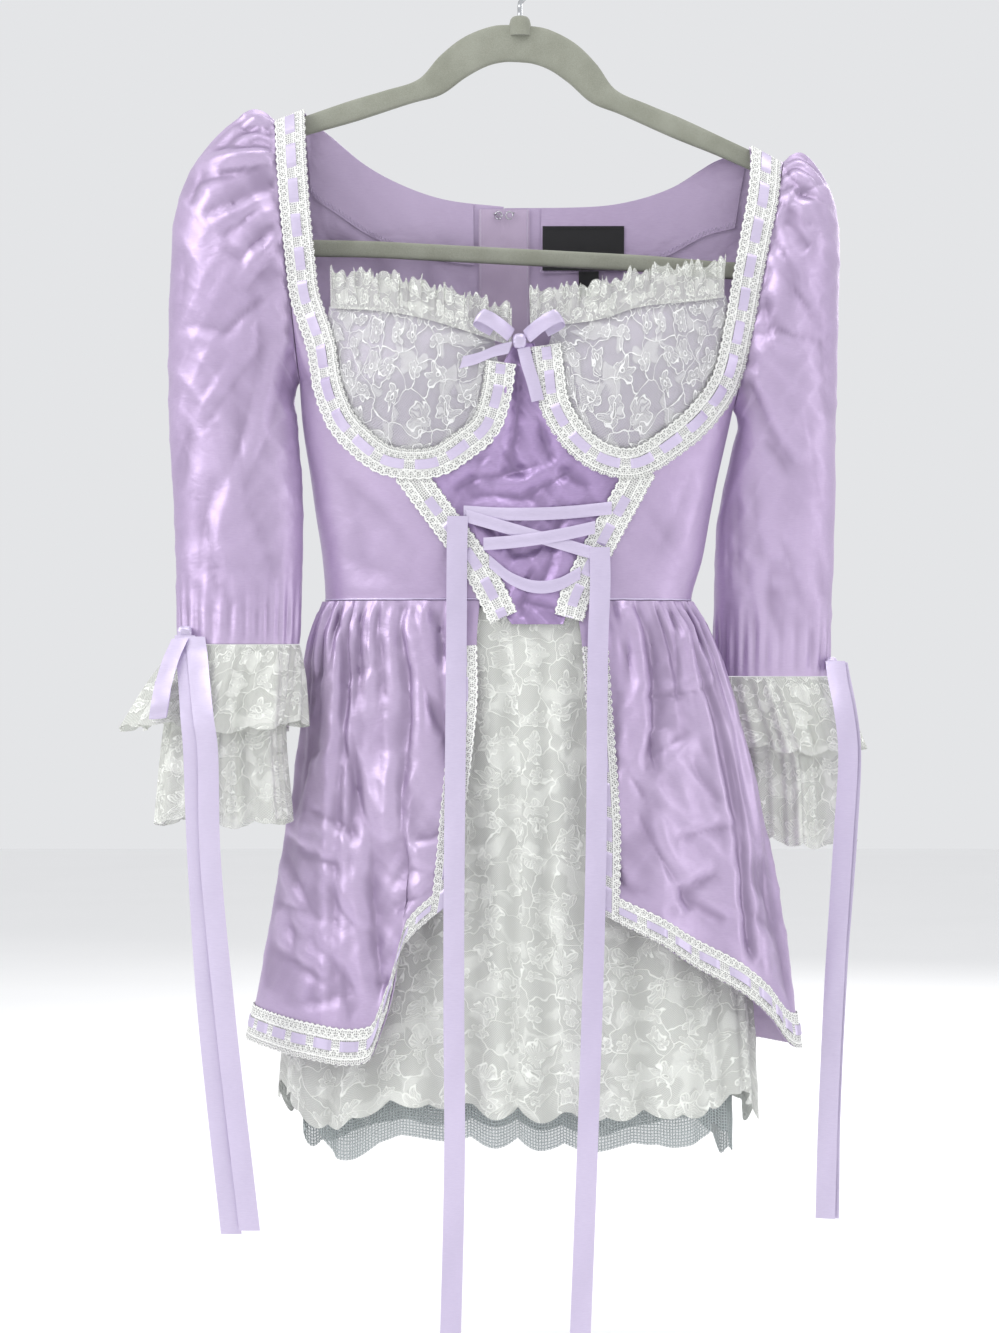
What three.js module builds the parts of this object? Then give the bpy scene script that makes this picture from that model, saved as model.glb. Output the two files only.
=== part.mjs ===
import * as THREE from 'three';

// A corset dress of satin and lace on a slim flocked hanger, in millimetres.
// The front faces -Y, +X is to the right seen from the front and +Z is up.
// The origin is where the inside of the hanger's hook bears on a rail.

// Wall thicknesses and the gaps that sewn pieces keep
const SATIN = 1.5;
const LACE = 1.2;
const SEAM = 0.4;
const SIDE_SEAM = 1.6;
const TRIM_LIFT = 0.9;
const TRIM_WIDTH = 21;
const RIBBON_WIDTH = 14.5;
const RIBBON = 1;

// Bodice
const WAIST_Z = -473;
const ROUNDNESS = 2.5;
const CUP_DEPTH = 24;
const CUP_SPREAD = { x: 55, z: 50 };
const FRILL_WAVES = 8;
const FRILL_HEIGHT = 27;
const BACK_SEAM_X = -11.5;
const FACING_DEPTH = 46;

const SIDES = {
  left: {
    sign: -1, topX: -176, topZ: -127, underX: -158, underZ: -316, slope: 0.36, cupX: -79, cupZ: -315,
  },
  right: {
    sign: 1, topX: 189, topZ: -157, underX: 153, underZ: -336, slope: 0.47, cupX: 86, cupZ: -313,
  },
};
const ARMHOLE_DEPTH = 28;
const SHOULDER_FADE = 70;

const BODY = [
  { z: -490, left: -142, right: 126, centre: -8, front: 53, back: 47 },
  { z: -473, left: -140, right: 123, centre: -8, front: 50, back: 46 },
  { z: -443, left: -142, right: 131, centre: -6, front: 49, back: 45 },
  { z: -410, left: -147, right: 137, centre: -5, front: 48, back: 44 },
  { z: -385, left: -150.5, right: 142, centre: -4, front: 48, back: 43.5 },
  { z: -345, left: -156.5, right: 151, centre: -2, front: 48, back: 42 },
  { z: -300, left: -159.5, right: 160, centre: 0, front: 47, back: 39 },
  { z: -250, left: -164, right: 171, centre: 3, front: 42, back: 35 },
  { z: -200, left: -169, right: 180, centre: 5, front: 34, back: 29 },
  { z: -160, left: -173, right: 188, centre: 5, front: 24, back: 23 },
  { z: -127, left: -176, right: 195, centre: 5, front: 14, back: 14 },
];

// Inner edges of the side fronts: strap, then cup, then the seam beside the front panel
const FRONT_INNER = {
  left: [
    { z: -127, x: -155 },
    { z: -162, x: -153 },
    { z: -197, x: -151 },
    { z: -233, x: -147 },
    { z: -256, x: -145 },
    { z: -275, x: -145.5 },
    { z: -292, x: -142 },
    { z: -321, x: -137 },
    { z: -346, x: -127 },
    { z: -360, x: -115 },
    { z: -373, x: -98 },
    { z: -378, x: -82 },
    { z: -384, x: -74 },
    { z: -398, x: -69 },
    { z: -422, x: -50 },
    { z: -447, x: -33 },
    { z: -473, x: -19 },
  ],
  right: [
    { z: -157, x: 165 },
    { z: -188, x: 163 },
    { z: -216, x: 157 },
    { z: -245, x: 151 },
    { z: -262, x: 151.5 },
    { z: -278, x: 155.5 },
    { z: -317, x: 146.5 },
    { z: -342, x: 129.5 },
    { z: -360, x: 110 },
    { z: -373, x: 92 },
    { z: -378, x: 86 },
    { z: -387, x: 82 },
    { z: -410, x: 69 },
    { z: -425, x: 61 },
    { z: -450, x: 48.5 },
    { z: -473, x: 37 },
  ],
};

// Front panel, from its point between the cups to its tip under the waist
const STOMACHER = [
  { z: -292, left: -4, right: 9 },
  { z: -306, left: -11.5, right: 15 },
  { z: -328, left: -13.5, right: 19.5 },
  { z: -351, left: -22, right: 31 },
  { z: -364, left: -37, right: 44 },
  { z: -374, left: -55, right: 62 },
  { z: -381, left: -73, right: 82 },
  { z: -387, left: -72.5, right: 81 },
  { z: -398, left: -68, right: 75 },
  { z: -422, left: -49, right: 62 },
  { z: -447, left: -32, right: 49.5 },
  { z: -473, left: -18, right: 36 },
  { z: -490, left: -6, right: 30 },
];

const CUP_TOP = {
  left: [
    { x: -137, z: -263 },
    { x: -102, z: -266 },
    { x: -74, z: -271 },
    { x: -42, z: -280 },
    { x: -17, z: -288 },
  ],
  right: [
    { x: 147, z: -255 },
    { x: 121, z: -259 },
    { x: 84, z: -264 },
    { x: 55, z: -273 },
    { x: 22, z: -277 },
  ],
};
const CUP_SCALE = 0.975;

// Centre line of the trim: shoulder, strap, then round under the cup
const NECK_TRIM = {
  left: [
    { x: -165, z: -128.5 },
    { x: -163, z: -162 },
    { x: -160, z: -197 },
    { x: -156, z: -233 },
    { x: -153, z: -256 },
    { x: -141, z: -292 },
    { x: -136, z: -321 },
    { x: -126, z: -346 },
    { x: -114, z: -360 },
    { x: -97, z: -373 },
    { x: -79, z: -377 },
    { x: -58, z: -375 },
    { x: -40, z: -364 },
    { x: -25, z: -351 },
    { x: -17, z: -328 },
    { x: -14, z: -306 },
  ],
  right: [
    { x: 176, z: -158.5 },
    { x: 173, z: -188 },
    { x: 167, z: -216 },
    { x: 161, z: -245 },
    { x: 158, z: -262 },
    { x: 155, z: -278 },
    { x: 145, z: -317 },
    { x: 128, z: -342 },
    { x: 108, z: -360 },
    { x: 81, z: -376 },
    { x: 58, z: -373 },
    { x: 38, z: -358 },
    { x: 24, z: -335 },
    { x: 20, z: -310 },
    { x: 18, z: -294 },
  ],
};
const STRAP_POINTS = 5;

const V_TRIM = {
  left: [
    { x: -68.5, z: -397 },
    { x: -50, z: -422 },
    { x: -32, z: -447 },
    { x: -19, z: -471 },
    { x: -12, z: -486 },
  ],
  right: [
    { x: 76.5, z: -397 },
    { x: 61, z: -425 },
    { x: 48, z: -450 },
    { x: 38, z: -472 },
    { x: 34, z: -486 },
  ],
};

// Back neck edge, from the centre back seam out to the shoulder seam
const BACK_NECK = {
  left: [
    { x: -12, z: -185 },
    { x: -55, z: -180 },
    { x: -86, z: -170 },
    { x: -114, z: -155 },
    { x: -138, z: -135 },
    { x: -155, z: -122 },
  ],
  right: [
    { x: -11, z: -185 },
    { x: 55, z: -184 },
    { x: 84, z: -180 },
    { x: 114, z: -170 },
    { x: 140, z: -154 },
    { x: 165, z: -147 },
  ],
};

// Sleeve rings: the point over the arm, the point under it, half the depth and the middle in y
const SLEEVE = {
  left: [
    { topX: -176.6, topZ: -127, underX: -158.6, underZ: -316, depth: 28, y: 0 },
    { topX: -191, topZ: -123, underX: -159.8, underZ: -318.5, depth: 33, y: 0 },
    { topX: -213, topZ: -136, underX: -160.6, underZ: -321, depth: 37, y: 0 },
    { topX: -236, topZ: -162, underX: -161.2, underZ: -324, depth: 38, y: 0 },
    { topX: -248, topZ: -194, underX: -161.6, underZ: -327, depth: 37, y: -1 },
    { topX: -252, topZ: -240, underX: -161.6, underZ: -330.5, depth: 35, y: -2 },
    { topX: -253, topZ: -292, underX: -161, underZ: -335, depth: 33, y: -4 },
    { topX: -252, topZ: -350, underX: -159, underZ: -352, depth: 31, y: -8 },
    { topX: -248, topZ: -410, underX: -155, underZ: -410, depth: 30, y: -15 },
    { topX: -243, topZ: -504, underX: -157, underZ: -504, depth: 27, y: -31 },
  ],
  right: [
    { topX: 189.6, topZ: -157, underX: 153.6, underZ: -336, depth: 28, y: 0 },
    { topX: 202, topZ: -153, underX: 155, underZ: -338.5, depth: 33, y: 0 },
    { topX: 215, topZ: -165, underX: 156, underZ: -341, depth: 37, y: 0 },
    { topX: 225, topZ: -183, underX: 156.6, underZ: -344, depth: 38, y: 0 },
    { topX: 230, topZ: -210, underX: 157, underZ: -347, depth: 37, y: 1 },
    { topX: 230, topZ: -250, underX: 156.6, underZ: -350.5, depth: 35, y: 2 },
    { topX: 229, topZ: -305, underX: 155, underZ: -356, depth: 33, y: 4 },
    { topX: 228, topZ: -365, underX: 151, underZ: -372, depth: 31, y: 8 },
    { topX: 228, topZ: -425, underX: 142, underZ: -425, depth: 30, y: 16 },
    { topX: 226, topZ: -527, underX: 141, underZ: -527, depth: 26, y: 38 },
  ],
};
const SLEEVE_GATHERS = 8;
const SLEEVE_GATHER_DEPTH = [0.6, 2.4, 2.2, 1.2, 0.4];

// Cuff tiers: half width, half depth and middle of each ring
const CUFFS = {
  left: {
    upper: [
      { z: -504.6, x: -200, y: -31, width: 43, depth: 27, wave: 0 },
      { z: -528, x: -208, y: -33, width: 52, depth: 35, wave: 3 },
      { z: -562, x: -218, y: -36, width: 61, depth: 42, wave: 6 },
    ],
    lower: [
      { z: -506, x: -200, y: -31, width: 41, depth: 25, wave: 0 },
      { z: -560, x: -210, y: -35, width: 41, depth: 31, wave: 3 },
      { z: -629, x: -211, y: -38, width: 46, depth: 35, wave: 4 },
    ],
  },
  right: {
    upper: [
      { z: -527.6, x: 183.5, y: 38, width: 42.5, depth: 26, wave: 0 },
      { z: -550, x: 191, y: 42, width: 47, depth: 31, wave: 2 },
      { z: -580, x: 201, y: 46, width: 49, depth: 34, wave: 4 },
    ],
    lower: [
      { z: -529, x: 183.5, y: 38, width: 40.5, depth: 24, wave: 0 },
      { z: -580, x: 201, y: 46, width: 38, depth: 26, wave: 2 },
      { z: -648, x: 205, y: 47, width: 40, depth: 30, wave: 4 },
    ],
  },
};
const CUFF_WAVES = { upper: 8, lower: 7 };

// Skirt layers: middle, half width and the depths before and behind
const OVERSKIRT = [
  { z: -473, x: -8.5, width: 131.5, front: 50, back: 46, roundness: 2.5 },
  { z: -500, x: -6, width: 144, front: 54, back: 51, roundness: 2.4 },
  { z: -544, x: -1, width: 154, front: 61, back: 59, roundness: 2.2 },
  { z: -630, x: 4, width: 170, front: 72, back: 71, roundness: 2.1 },
  { z: -688, x: 5, width: 180, front: 80, back: 79, roundness: 2 },
  { z: -760, x: 3.5, width: 190.5, front: 88, back: 87, roundness: 2 },
  { z: -797, x: 2, width: 197, front: 93, back: 92, roundness: 2 },
];
const INNER_SKIRT = [
  { z: -473, x: -8.5, width: 131.5, front: 50, back: 46, roundness: 2.5 },
  { z: -500, x: -6, width: 138, front: 51, back: 47, roundness: 2.4 },
  { z: -544, x: -2, width: 146, front: 54, back: 51, roundness: 2.2 },
  { z: -630, x: 1, width: 158, front: 61, back: 60, roundness: 2.1 },
  { z: -688, x: 1, width: 164, front: 66, back: 65, roundness: 2 },
  { z: -760, x: -1, width: 171, front: 73, back: 72, roundness: 2 },
  { z: -835, x: -2, width: 176, front: 80, back: 78, roundness: 2 },
  { z: -870, x: -2, width: 178, front: 82, back: 80, roundness: 2 },
];

// Overskirt hem, from the front edge round the side to the centre back, by angle from the front
const OVERSKIRT_HEM = {
  left: [
    { at: 0, angle: 17, z: -683 },
    { at: 0.09, angle: 27, z: -714 },
    { at: 0.13, angle: 28.5, z: -748 },
    { at: 0.17, angle: 31, z: -774 },
    { at: 0.21, angle: 34, z: -796 },
    { at: 0.32, angle: 50, z: -794 },
    { at: 0.5, angle: 90, z: -786 },
    { at: 1, angle: 180, z: -788 },
  ],
  right: [
    { at: 0, angle: 15, z: -690 },
    { at: 0.09, angle: 26, z: -708 },
    { at: 0.17, angle: 37, z: -727 },
    { at: 0.25, angle: 50, z: -746 },
    { at: 0.32, angle: 62, z: -768 },
    { at: 0.42, angle: 77, z: -790 },
    { at: 0.5, angle: 90, z: -793 },
    { at: 1, angle: 180, z: -788 },
  ],
};
const OVERSKIRT_TOP_ANGLE = { left: 5.5, right: 16 };
const OVERSKIRT_GATHERS = 14;
const OVERSKIRT_FOLDS = 5;
const GATHER_DEPTH = 2.2;
const FOLD_DEPTH = 10;
const EDGE_TRIM_SHARE = 0.045;
const HEM_TRIM_ROW = 0.925;

// Layers under the overskirt: the gap inward at the waist, and how much more at the hem
const LAYERS = {
  lace_underskirt: { top: -478, hem: -833, hemWave: 7, inward: 1.9, shrink: 0, folds: 16, wave: 5 },
  skirt_lining: { top: -480, hem: -822, hemWave: 0, inward: 3.6, shrink: 9, folds: 8, wave: 3 },
  net_petticoat: { top: -482, hem: -857, hemWave: 6, inward: 5.3, shrink: 17, folds: 8, wave: 4 },
};
const HEM_DIPS = 5;

// Zip guard, labels and small metal parts inside and behind the centre back
const GUARD_WIDTH = 37;
const GUARD_INWARD = 2.1;
const GUARD_THICKNESS = 1;
const LABEL_INWARD = 3.3;
const LABEL_THICKNESS = 0.8;
const EYE_Z = -192;
const SLIDER_Z = -196;
const SLIDER_LIFT = 0.9;
const PULL_PIVOT = 2.8;

// Hanger half outline: distance from the middle and height from the arch's top
const HANGER_THICKNESS = 6;
const HANGER_TOP_Z = -58;
const HANGER_TILT = THREE.MathUtils.degToRad(-3);
const HANGER_OUTER = [
  { x: 8.6, z: 6 },
  { x: 9, z: -0.5 },
  { x: 20, z: -2 },
  { x: 40, z: -11 },
  { x: 56.5, z: -25.4 },
  { x: 71, z: -43 },
  { x: 95, z: -52.5 },
  { x: 119, z: -61 },
  { x: 150, z: -73.5 },
  { x: 187, z: -88.7 },
  { x: 212, z: -100 },
  { x: 221, z: -110 },
  { x: 222, z: -122 },
  { x: 216, z: -145 },
  { x: 203, z: -164 },
  { x: 186, z: -173 },
];
const HANGER_INNER = [
  { x: 10, z: -27.5 },
  { x: 22, z: -31 },
  { x: 37, z: -40 },
  { x: 54, z: -53.3 },
  { x: 75, z: -60.5 },
  { x: 114, z: -75.5 },
  { x: 149, z: -87.5 },
  { x: 185, z: -102 },
  { x: 203, z: -112 },
  { x: 209, z: -122 },
  { x: 204, z: -141 },
  { x: 195, z: -155 },
  { x: 183, z: -161 },
];
const HOOK_WIRE = 3.6;
const HOOK_INSIDE_RADIUS = 17;

const COLOURS = {
  satin: 0xc7abdb,
  lace: 0xeceee8,
  ribbon: 0xcdbfe2,
  lining: 0xfafafa,
  net: 0xd5d8d8,
  velvet: 0xb2b3a4,
  steel: 0xb8bcc0,
  guard: 0xcdbcd9,
  label: 0x1a1a1c,
};

const dress = new THREE.Group();

function addMesh(name, geometry, colour, roughness = 0.6, metalness = 0) {
  const material = new THREE.MeshStandardMaterial({ color: colour, roughness, metalness });
  const mesh = new THREE.Mesh(geometry, material);
  mesh.name = name;
  dress.add(mesh);
  return mesh;
}

const clamp = THREE.MathUtils.clamp;
const lerp = THREE.MathUtils.lerp;

// A smooth curve through the rows of a table: column `key` against column `by`
function curve(rows, by, key) {
  const sorted = [...rows].sort((a, b) => a[by] - b[by]);
  const xs = sorted.map((row) => row[by]);
  const ys = sorted.map((row) => row[key]);
  const last = xs.length - 1;
  const slopes = xs.map((x, i) => {
    const before = Math.max(i - 1, 0);
    const after = Math.min(i + 1, last);
    return (ys[after] - ys[before]) / (xs[after] - xs[before]);
  });
  return (value) => {
    const x = clamp(value, xs[0], xs[last]);
    let i = 0;
    while (i < last - 1 && x > xs[i + 1]) i += 1;
    const step = xs[i + 1] - xs[i];
    const t = (x - xs[i]) / step;
    const start = ys[i] * (1 + 2 * t) * (1 - t) ** 2 + ys[i + 1] * t * t * (3 - 2 * t);
    return start + step * (slopes[i] * t * (1 - t) ** 2 - slopes[i + 1] * t * t * (1 - t));
  };
}

const range = (count, from = 0, to = 1) =>
  Array.from({ length: count + 1 }, (_, i) => lerp(from, to, i / count));

// A grid of surface points with normals that face `outward`
function surface(us, vs, point, outward, closed = false) {
  const points = vs.map((v) => us.map((u) => point(u, v)));
  const columns = us.length;
  let facing = 0;
  const normals = points.map((row, j) =>
    row.map((here, i) => {
      const before = row[closed ? (i + columns - 1) % columns : Math.max(i - 1, 0)];
      const after = row[closed ? (i + 1) % columns : Math.min(i + 1, columns - 1)];
      const above = points[Math.max(j - 1, 0)][i];
      const below = points[Math.min(j + 1, vs.length - 1)][i];
      const normal = after.clone().sub(before).cross(below.clone().sub(above)).normalize();
      facing += normal.dot(outward(here));
      return normal;
    })
  );
  if (facing < 0) normals.flat().forEach((normal) => normal.negate());
  return { points, normals, closed };
}

// A closed wall between two offsets from a surface, over some of its columns and rows
function layer(sheet, outer, inner, part = {}) {
  const { points, normals, closed } = sheet;
  const [firstColumn, lastColumn] = part.columns ?? [0, points[0].length - 1];
  const [firstRow, lastRow] = part.rows ?? [0, points.length - 1];
  const columns = lastColumn - firstColumn + 1;
  const rows = lastRow - firstRow + 1;
  const positions = [];
  for (const offset of [outer, inner]) {
    for (let j = firstRow; j <= lastRow; j += 1) {
      for (let i = firstColumn; i <= lastColumn; i += 1) {
        positions.push(...points[j][i].clone().addScaledVector(normals[j][i], offset));
      }
    }
  }
  const id = (face, j, i) => (face * rows + j) * columns + (closed ? i % columns : i);
  const triangles = [];
  const quad = (a, b, c, d) => triangles.push(a, b, c, a, c, d);
  const spans = closed ? columns : columns - 1;
  for (let i = 0; i < spans; i += 1) {
    for (let j = 0; j < rows - 1; j += 1) {
      quad(id(0, j, i), id(0, j + 1, i), id(0, j + 1, i + 1), id(0, j, i + 1));
      quad(id(1, j, i), id(1, j, i + 1), id(1, j + 1, i + 1), id(1, j + 1, i));
    }
    quad(id(1, 0, i), id(0, 0, i), id(0, 0, i + 1), id(1, 0, i + 1));
    quad(id(0, rows - 1, i), id(1, rows - 1, i), id(1, rows - 1, i + 1), id(0, rows - 1, i + 1));
  }
  for (let j = 0; j < rows - 1 && !closed; j += 1) {
    quad(id(0, j, 0), id(1, j, 0), id(1, j + 1, 0), id(0, j + 1, 0));
    quad(id(1, j, spans), id(0, j, spans), id(0, j + 1, spans), id(1, j + 1, spans));
  }
  return solid(positions, triangles);
}

// A geometry with its faces pointing out, whichever way round they were listed
function solid(positions, triangles) {
  const at = (i) => new THREE.Vector3().fromArray(positions, triangles[i] * 3);
  let volume = 0;
  for (let i = 0; i < triangles.length; i += 3) {
    volume += at(i).dot(at(i + 1).cross(at(i + 2)));
  }
  const geometry = new THREE.BufferGeometry();
  geometry.setAttribute('position', new THREE.Float32BufferAttribute(positions, 3));
  geometry.setIndex(volume < 0 ? [...triangles].reverse() : triangles);
  return geometry;
}

const toFront = () => new THREE.Vector3(0, -1, 0);
const toBack = () => new THREE.Vector3(0, 1, 0);

// Bodice sections
const bodyCentre = curve(BODY, 'z', 'centre');
const bodyFront = curve(BODY, 'z', 'front');
const bodyBack = curve(BODY, 'z', 'back');
const bodyEdge = { left: curve(BODY, 'z', 'left'), right: curve(BODY, 'z', 'right') };

function outerX(side, z) {
  const { topX, topZ, underX, underZ } = SIDES[side];
  return z > underZ ? lerp(topX, underX, (topZ - z) / (topZ - underZ)) : bodyEdge[side](z);
}

// Half the depth that the armhole leaves between front and back
function armholeDepth(side, z) {
  const { topZ, underZ } = SIDES[side];
  const across = (2 * z - topZ - underZ) / (topZ - underZ);
  return ARMHOLE_DEPTH * Math.sqrt(Math.max(0, 1 - across * across));
}

// Height that the shoulder line gains towards the neck, fading out down the strap
function shoulderRise(side, x, z) {
  const { sign, topX, topZ, slope } = SIDES[side];
  const inward = Math.max(0, (topX - x) * sign);
  const fade = clamp(1 - (topZ - z) / SHOULDER_FADE, 0, 1);
  return slope * Math.min(inward, 24) * fade;
}

// The section that passes through a point once the rise is taken off
function sectionZ(side, x, z) {
  let section = z;
  for (let i = 0; i < 6; i += 1) section = z - shoulderRise(side, x, section);
  return Math.min(section, SIDES[side].topZ);
}

function bodyDepth(side, x, section, centreDepth) {
  const edge = armholeDepth(side, section);
  const capped = clamp((SIDES[side].topZ - section) / 30, 0, 1);
  const middle = Math.max(edge, centreDepth(section) * Math.sqrt(1 - (1 - capped) ** 2));
  const centre = bodyCentre(section);
  const reach = clamp((x - centre) / (outerX(side, section) - centre), 0, 1);
  const power = lerp(1 / ROUNDNESS, 1, edge / ARMHOLE_DEPTH);
  return SIDE_SEAM / 2 + edge + (middle - edge) * Math.pow(1 - reach ** ROUNDNESS, power);
}

function cupBump(x, z) {
  return Object.values(SIDES).reduce((sum, { cupX, cupZ }) => {
    const away = ((x - cupX) / CUP_SPREAD.x) ** 2 + ((z - cupZ) / CUP_SPREAD.z) ** 2;
    return sum + CUP_DEPTH * Math.exp(-away);
  }, 0);
}

const sideOf = (x, z) => (x < bodyCentre(z) ? 'left' : 'right');

function frontPoint(x, z, side = sideOf(x, z)) {
  const section = sectionZ(side, x, z);
  const fade = clamp((outerX(side, section) - x) * SIDES[side].sign / 30, 0, 1);
  return new THREE.Vector3(x, -bodyDepth(side, x, section, bodyFront) - fade * cupBump(x, z), z);
}

function backPoint(x, z, side = sideOf(x, z)) {
  return new THREE.Vector3(x, bodyDepth(side, x, sectionZ(side, x, z), bodyBack), z);
}

// The way out of the front or back, from small steps on it
function normalAt(point, x, z) {
  const step = 1.5;
  const across = point(x + step, z).sub(point(x - step, z));
  const down = point(x, z - step).sub(point(x, z + step));
  const normal = across.cross(down).normalize();
  const facing = point === frontPoint ? -1 : 1;
  return normal.multiplyScalar(facing * Math.sign(normal.y));
}

// Spread of columns that is closer towards the side seam
const towardsEdge = (u) => Math.sin((u * Math.PI) / 2);

function sideFront(side) {
  const { topZ, underZ } = SIDES[side];
  const inner = curve(FRONT_INNER[side], 'z', 'x');
  const sections = [
    topZ, topZ - 1.6, topZ - 6, topZ - 16, topZ - 38, topZ - 68, -233, -256, -276,
    underZ + 18, underZ + 6, underZ + 0.6, underZ - 0.6, underZ - 9,
    -346, -354, -361, -367, -372, -375, -378, -384, -398, -422, -447, WAIST_Z,
  ].sort((a, b) => b - a);
  const rows = sections.filter((z, i) => i === 0 || sections[i - 1] - z > 1);
  const point = (u, z) => {
    const x = lerp(inner(z), outerX(side, z), towardsEdge(u));
    return frontPoint(x, z + shoulderRise(side, x, z), side);
  };
  const sheet = surface(range(4), rows, point, toFront);
  addMesh(`front_side_${side}`, layer(sheet, 0, -SATIN), COLOURS.satin, 0.35);
}

function stomacher() {
  const left = curve(STOMACHER, 'z', 'left');
  const right = curve(STOMACHER, 'z', 'right');
  const rows = [-292, -306, -328, -346, -358, -367, -375, -381, -387, -398, -435, -473, -490];
  const point = (u, z) => frontPoint(lerp(left(z), right(z), u), z);
  const sheet = surface(range(6), rows, point, toFront);
  addMesh('front_panel', layer(sheet, 0, -SATIN), COLOURS.satin, 0.3);
}

const flatCurve = (rows) =>
  new THREE.CatmullRomCurve3(rows.map(({ x, z }) => new THREE.Vector3(x, 0, z)));

// The cup is ruled from its top edge to the seam below it, with lace over the satin
function cup(side) {
  const { cupX, cupZ } = SIDES[side];
  const top = flatCurve(CUP_TOP[side]);
  const under = flatCurve(NECK_TRIM[side].slice(STRAP_POINTS));
  const middle = new THREE.Vector3(cupX, 0, cupZ);
  const point = (u, v) => {
    const flat = top.getPointAt(u).lerp(under.getPointAt(u), v);
    flat.sub(middle).multiplyScalar(CUP_SCALE).add(middle);
    return frontPoint(flat.x, flat.z, side);
  };
  const sheet = surface(range(10), range(5), point, toFront);
  addMesh(`cup_lace_${side}`, layer(sheet, 0, -LACE), COLOURS.lace, 0.8);
  addMesh(`cup_${side}`, layer(sheet, -LACE - SEAM, -LACE - SEAM - SATIN), COLOURS.satin, 0.35);
}

// A strip of trim along a line on the bodice front
function strip(name, side, rows, steps) {
  const line = flatCurve(rows);
  const point = (u, v) => {
    const here = line.getPointAt(u);
    const along = line.getTangentAt(u);
    const x = here.x - along.z * TRIM_WIDTH * v;
    const section = here.z + along.x * TRIM_WIDTH * v;
    return frontPoint(x, section + shoulderRise(side, x, section));
  };
  const sheet = surface(steps, [-0.5, 0, 0.5], point, toFront);
  addMesh(name, layer(sheet, TRIM_LIFT + LACE, TRIM_LIFT), COLOURS.lace, 0.8);
}

// A gathered lace frill that stands on the cup's top edge
function cupFrill(side) {
  const { sign } = SIDES[side];
  const top = flatCurve(CUP_TOP[side]);
  const point = (u, v) => {
    const base = top.getPointAt(lerp(0.02, 0.98, u));
    const foot = frontPoint(base.x, base.z - 3, side);
    const turn = 2 * Math.PI * FRILL_WAVES * u;
    foot.x += sign * 2 * v * Math.sin(turn);
    foot.y -= SEAM + LACE + v * (2.5 + 2.6 * (1 + Math.cos(turn)));
    foot.z += FRILL_HEIGHT * v;
    return foot;
  };
  const sheet = surface(range(FRILL_WAVES * 4), [0, 1], point, toFront);
  addMesh(`cup_frill_${side}`, layer(sheet, 0, -LACE), COLOURS.lace, 0.8);
}

// Back panels with the neck facing inside them, parted at the centre back seam
function back(side) {
  const { sign, topX, topZ, underZ } = SIDES[side];
  const neck = curve(BACK_NECK[side].map(({ x, z }) => ({ out: x * sign, z })), 'out', 'z');
  const shoulderX = BACK_NECK[side].at(-1).x;
  const seamX = BACK_SEAM_X + (sign * SEAM) / 2;
  const under = (topZ - underZ) / (topZ - WAIST_Z);
  const facing = FACING_DEPTH / (BACK_NECK[side][0].z - WAIST_Z);
  const rows = [
    0, 0.006, 0.025, facing / 2, facing, 0.28, under - 0.12, under - 0.03, under - 0.003, under + 0.003,
    under + 0.06, 0.8, 1,
  ];
  const columns = [0, 0.078, 0.24, 0.42, 0.58, 0.685, 0.79, 0.9, 1];
  const point = (u, v) => {
    const spread = towardsEdge(u);
    const topEdgeX = lerp(seamX, topX, spread);
    const onShoulder = (topEdgeX - shoulderX) * sign > 0;
    const edgeZ = neck(topEdgeX * sign);
    const start = onShoulder ? topZ : Math.min(edgeZ - shoulderRise(side, topEdgeX, edgeZ), topZ);
    const z = lerp(start, WAIST_Z, v);
    const x = lerp(seamX, outerX(side, z), spread);
    return backPoint(x, z + shoulderRise(side, x, z), side);
  };
  const sheet = surface(columns, rows, point, toBack);
  addMesh(`back_${side}`, layer(sheet, 0, -SATIN), COLOURS.satin, 0.35);
  const facingPart = { columns: [1, columns.length - 4], rows: [1, 4] };
  const inside = -SATIN - SEAM;
  addMesh(
    `neck_facing_${side}`,
    layer(sheet, inside, inside - 1, facingPart),
    COLOURS.satin,
    0.35
  );
}

// Rings round the arm, by the angle from the top of the arm towards the front
function sleeve(side) {
  const rings = SLEEVE[side];
  const hemY = rings.at(-1).y;
  const middleY = (z) => hemY * clamp((-z - 300) / 220, 0, 1);
  const point = (u, row) => {
    const { topX, topZ, underX, underZ, depth, y } = rings[row];
    const angle = 2 * Math.PI * u;
    const top = (1 + Math.cos(angle)) / 2;
    const gather = (SLEEVE_GATHER_DEPTH[row] ?? 0) * Math.sqrt(top) * Math.cos(angle * SLEEVE_GATHERS);
    const middle = new THREE.Vector3((topX + underX) / 2, y, (topZ + underZ) / 2);
    const upwards = new THREE.Vector3((topX - underX) / 2, 0, (topZ - underZ) / 2);
    const outwards = upwards.multiplyScalar(Math.cos(angle));
    outwards.y -= depth * Math.sin(angle);
    return middle.addScaledVector(outwards, 1 + gather / outwards.length());
  };
  const out = (here) => new THREE.Vector3(0, here.y - middleY(here.z), 0);
  const columns = range(SLEEVE_GATHERS * 4).slice(0, -1);
  const sheet = surface(columns, rings.map((ring, row) => row), point, out, true);
  addMesh(`sleeve_${side}`, layer(sheet, 0, -SATIN), COLOURS.satin, 0.35);
}

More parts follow.
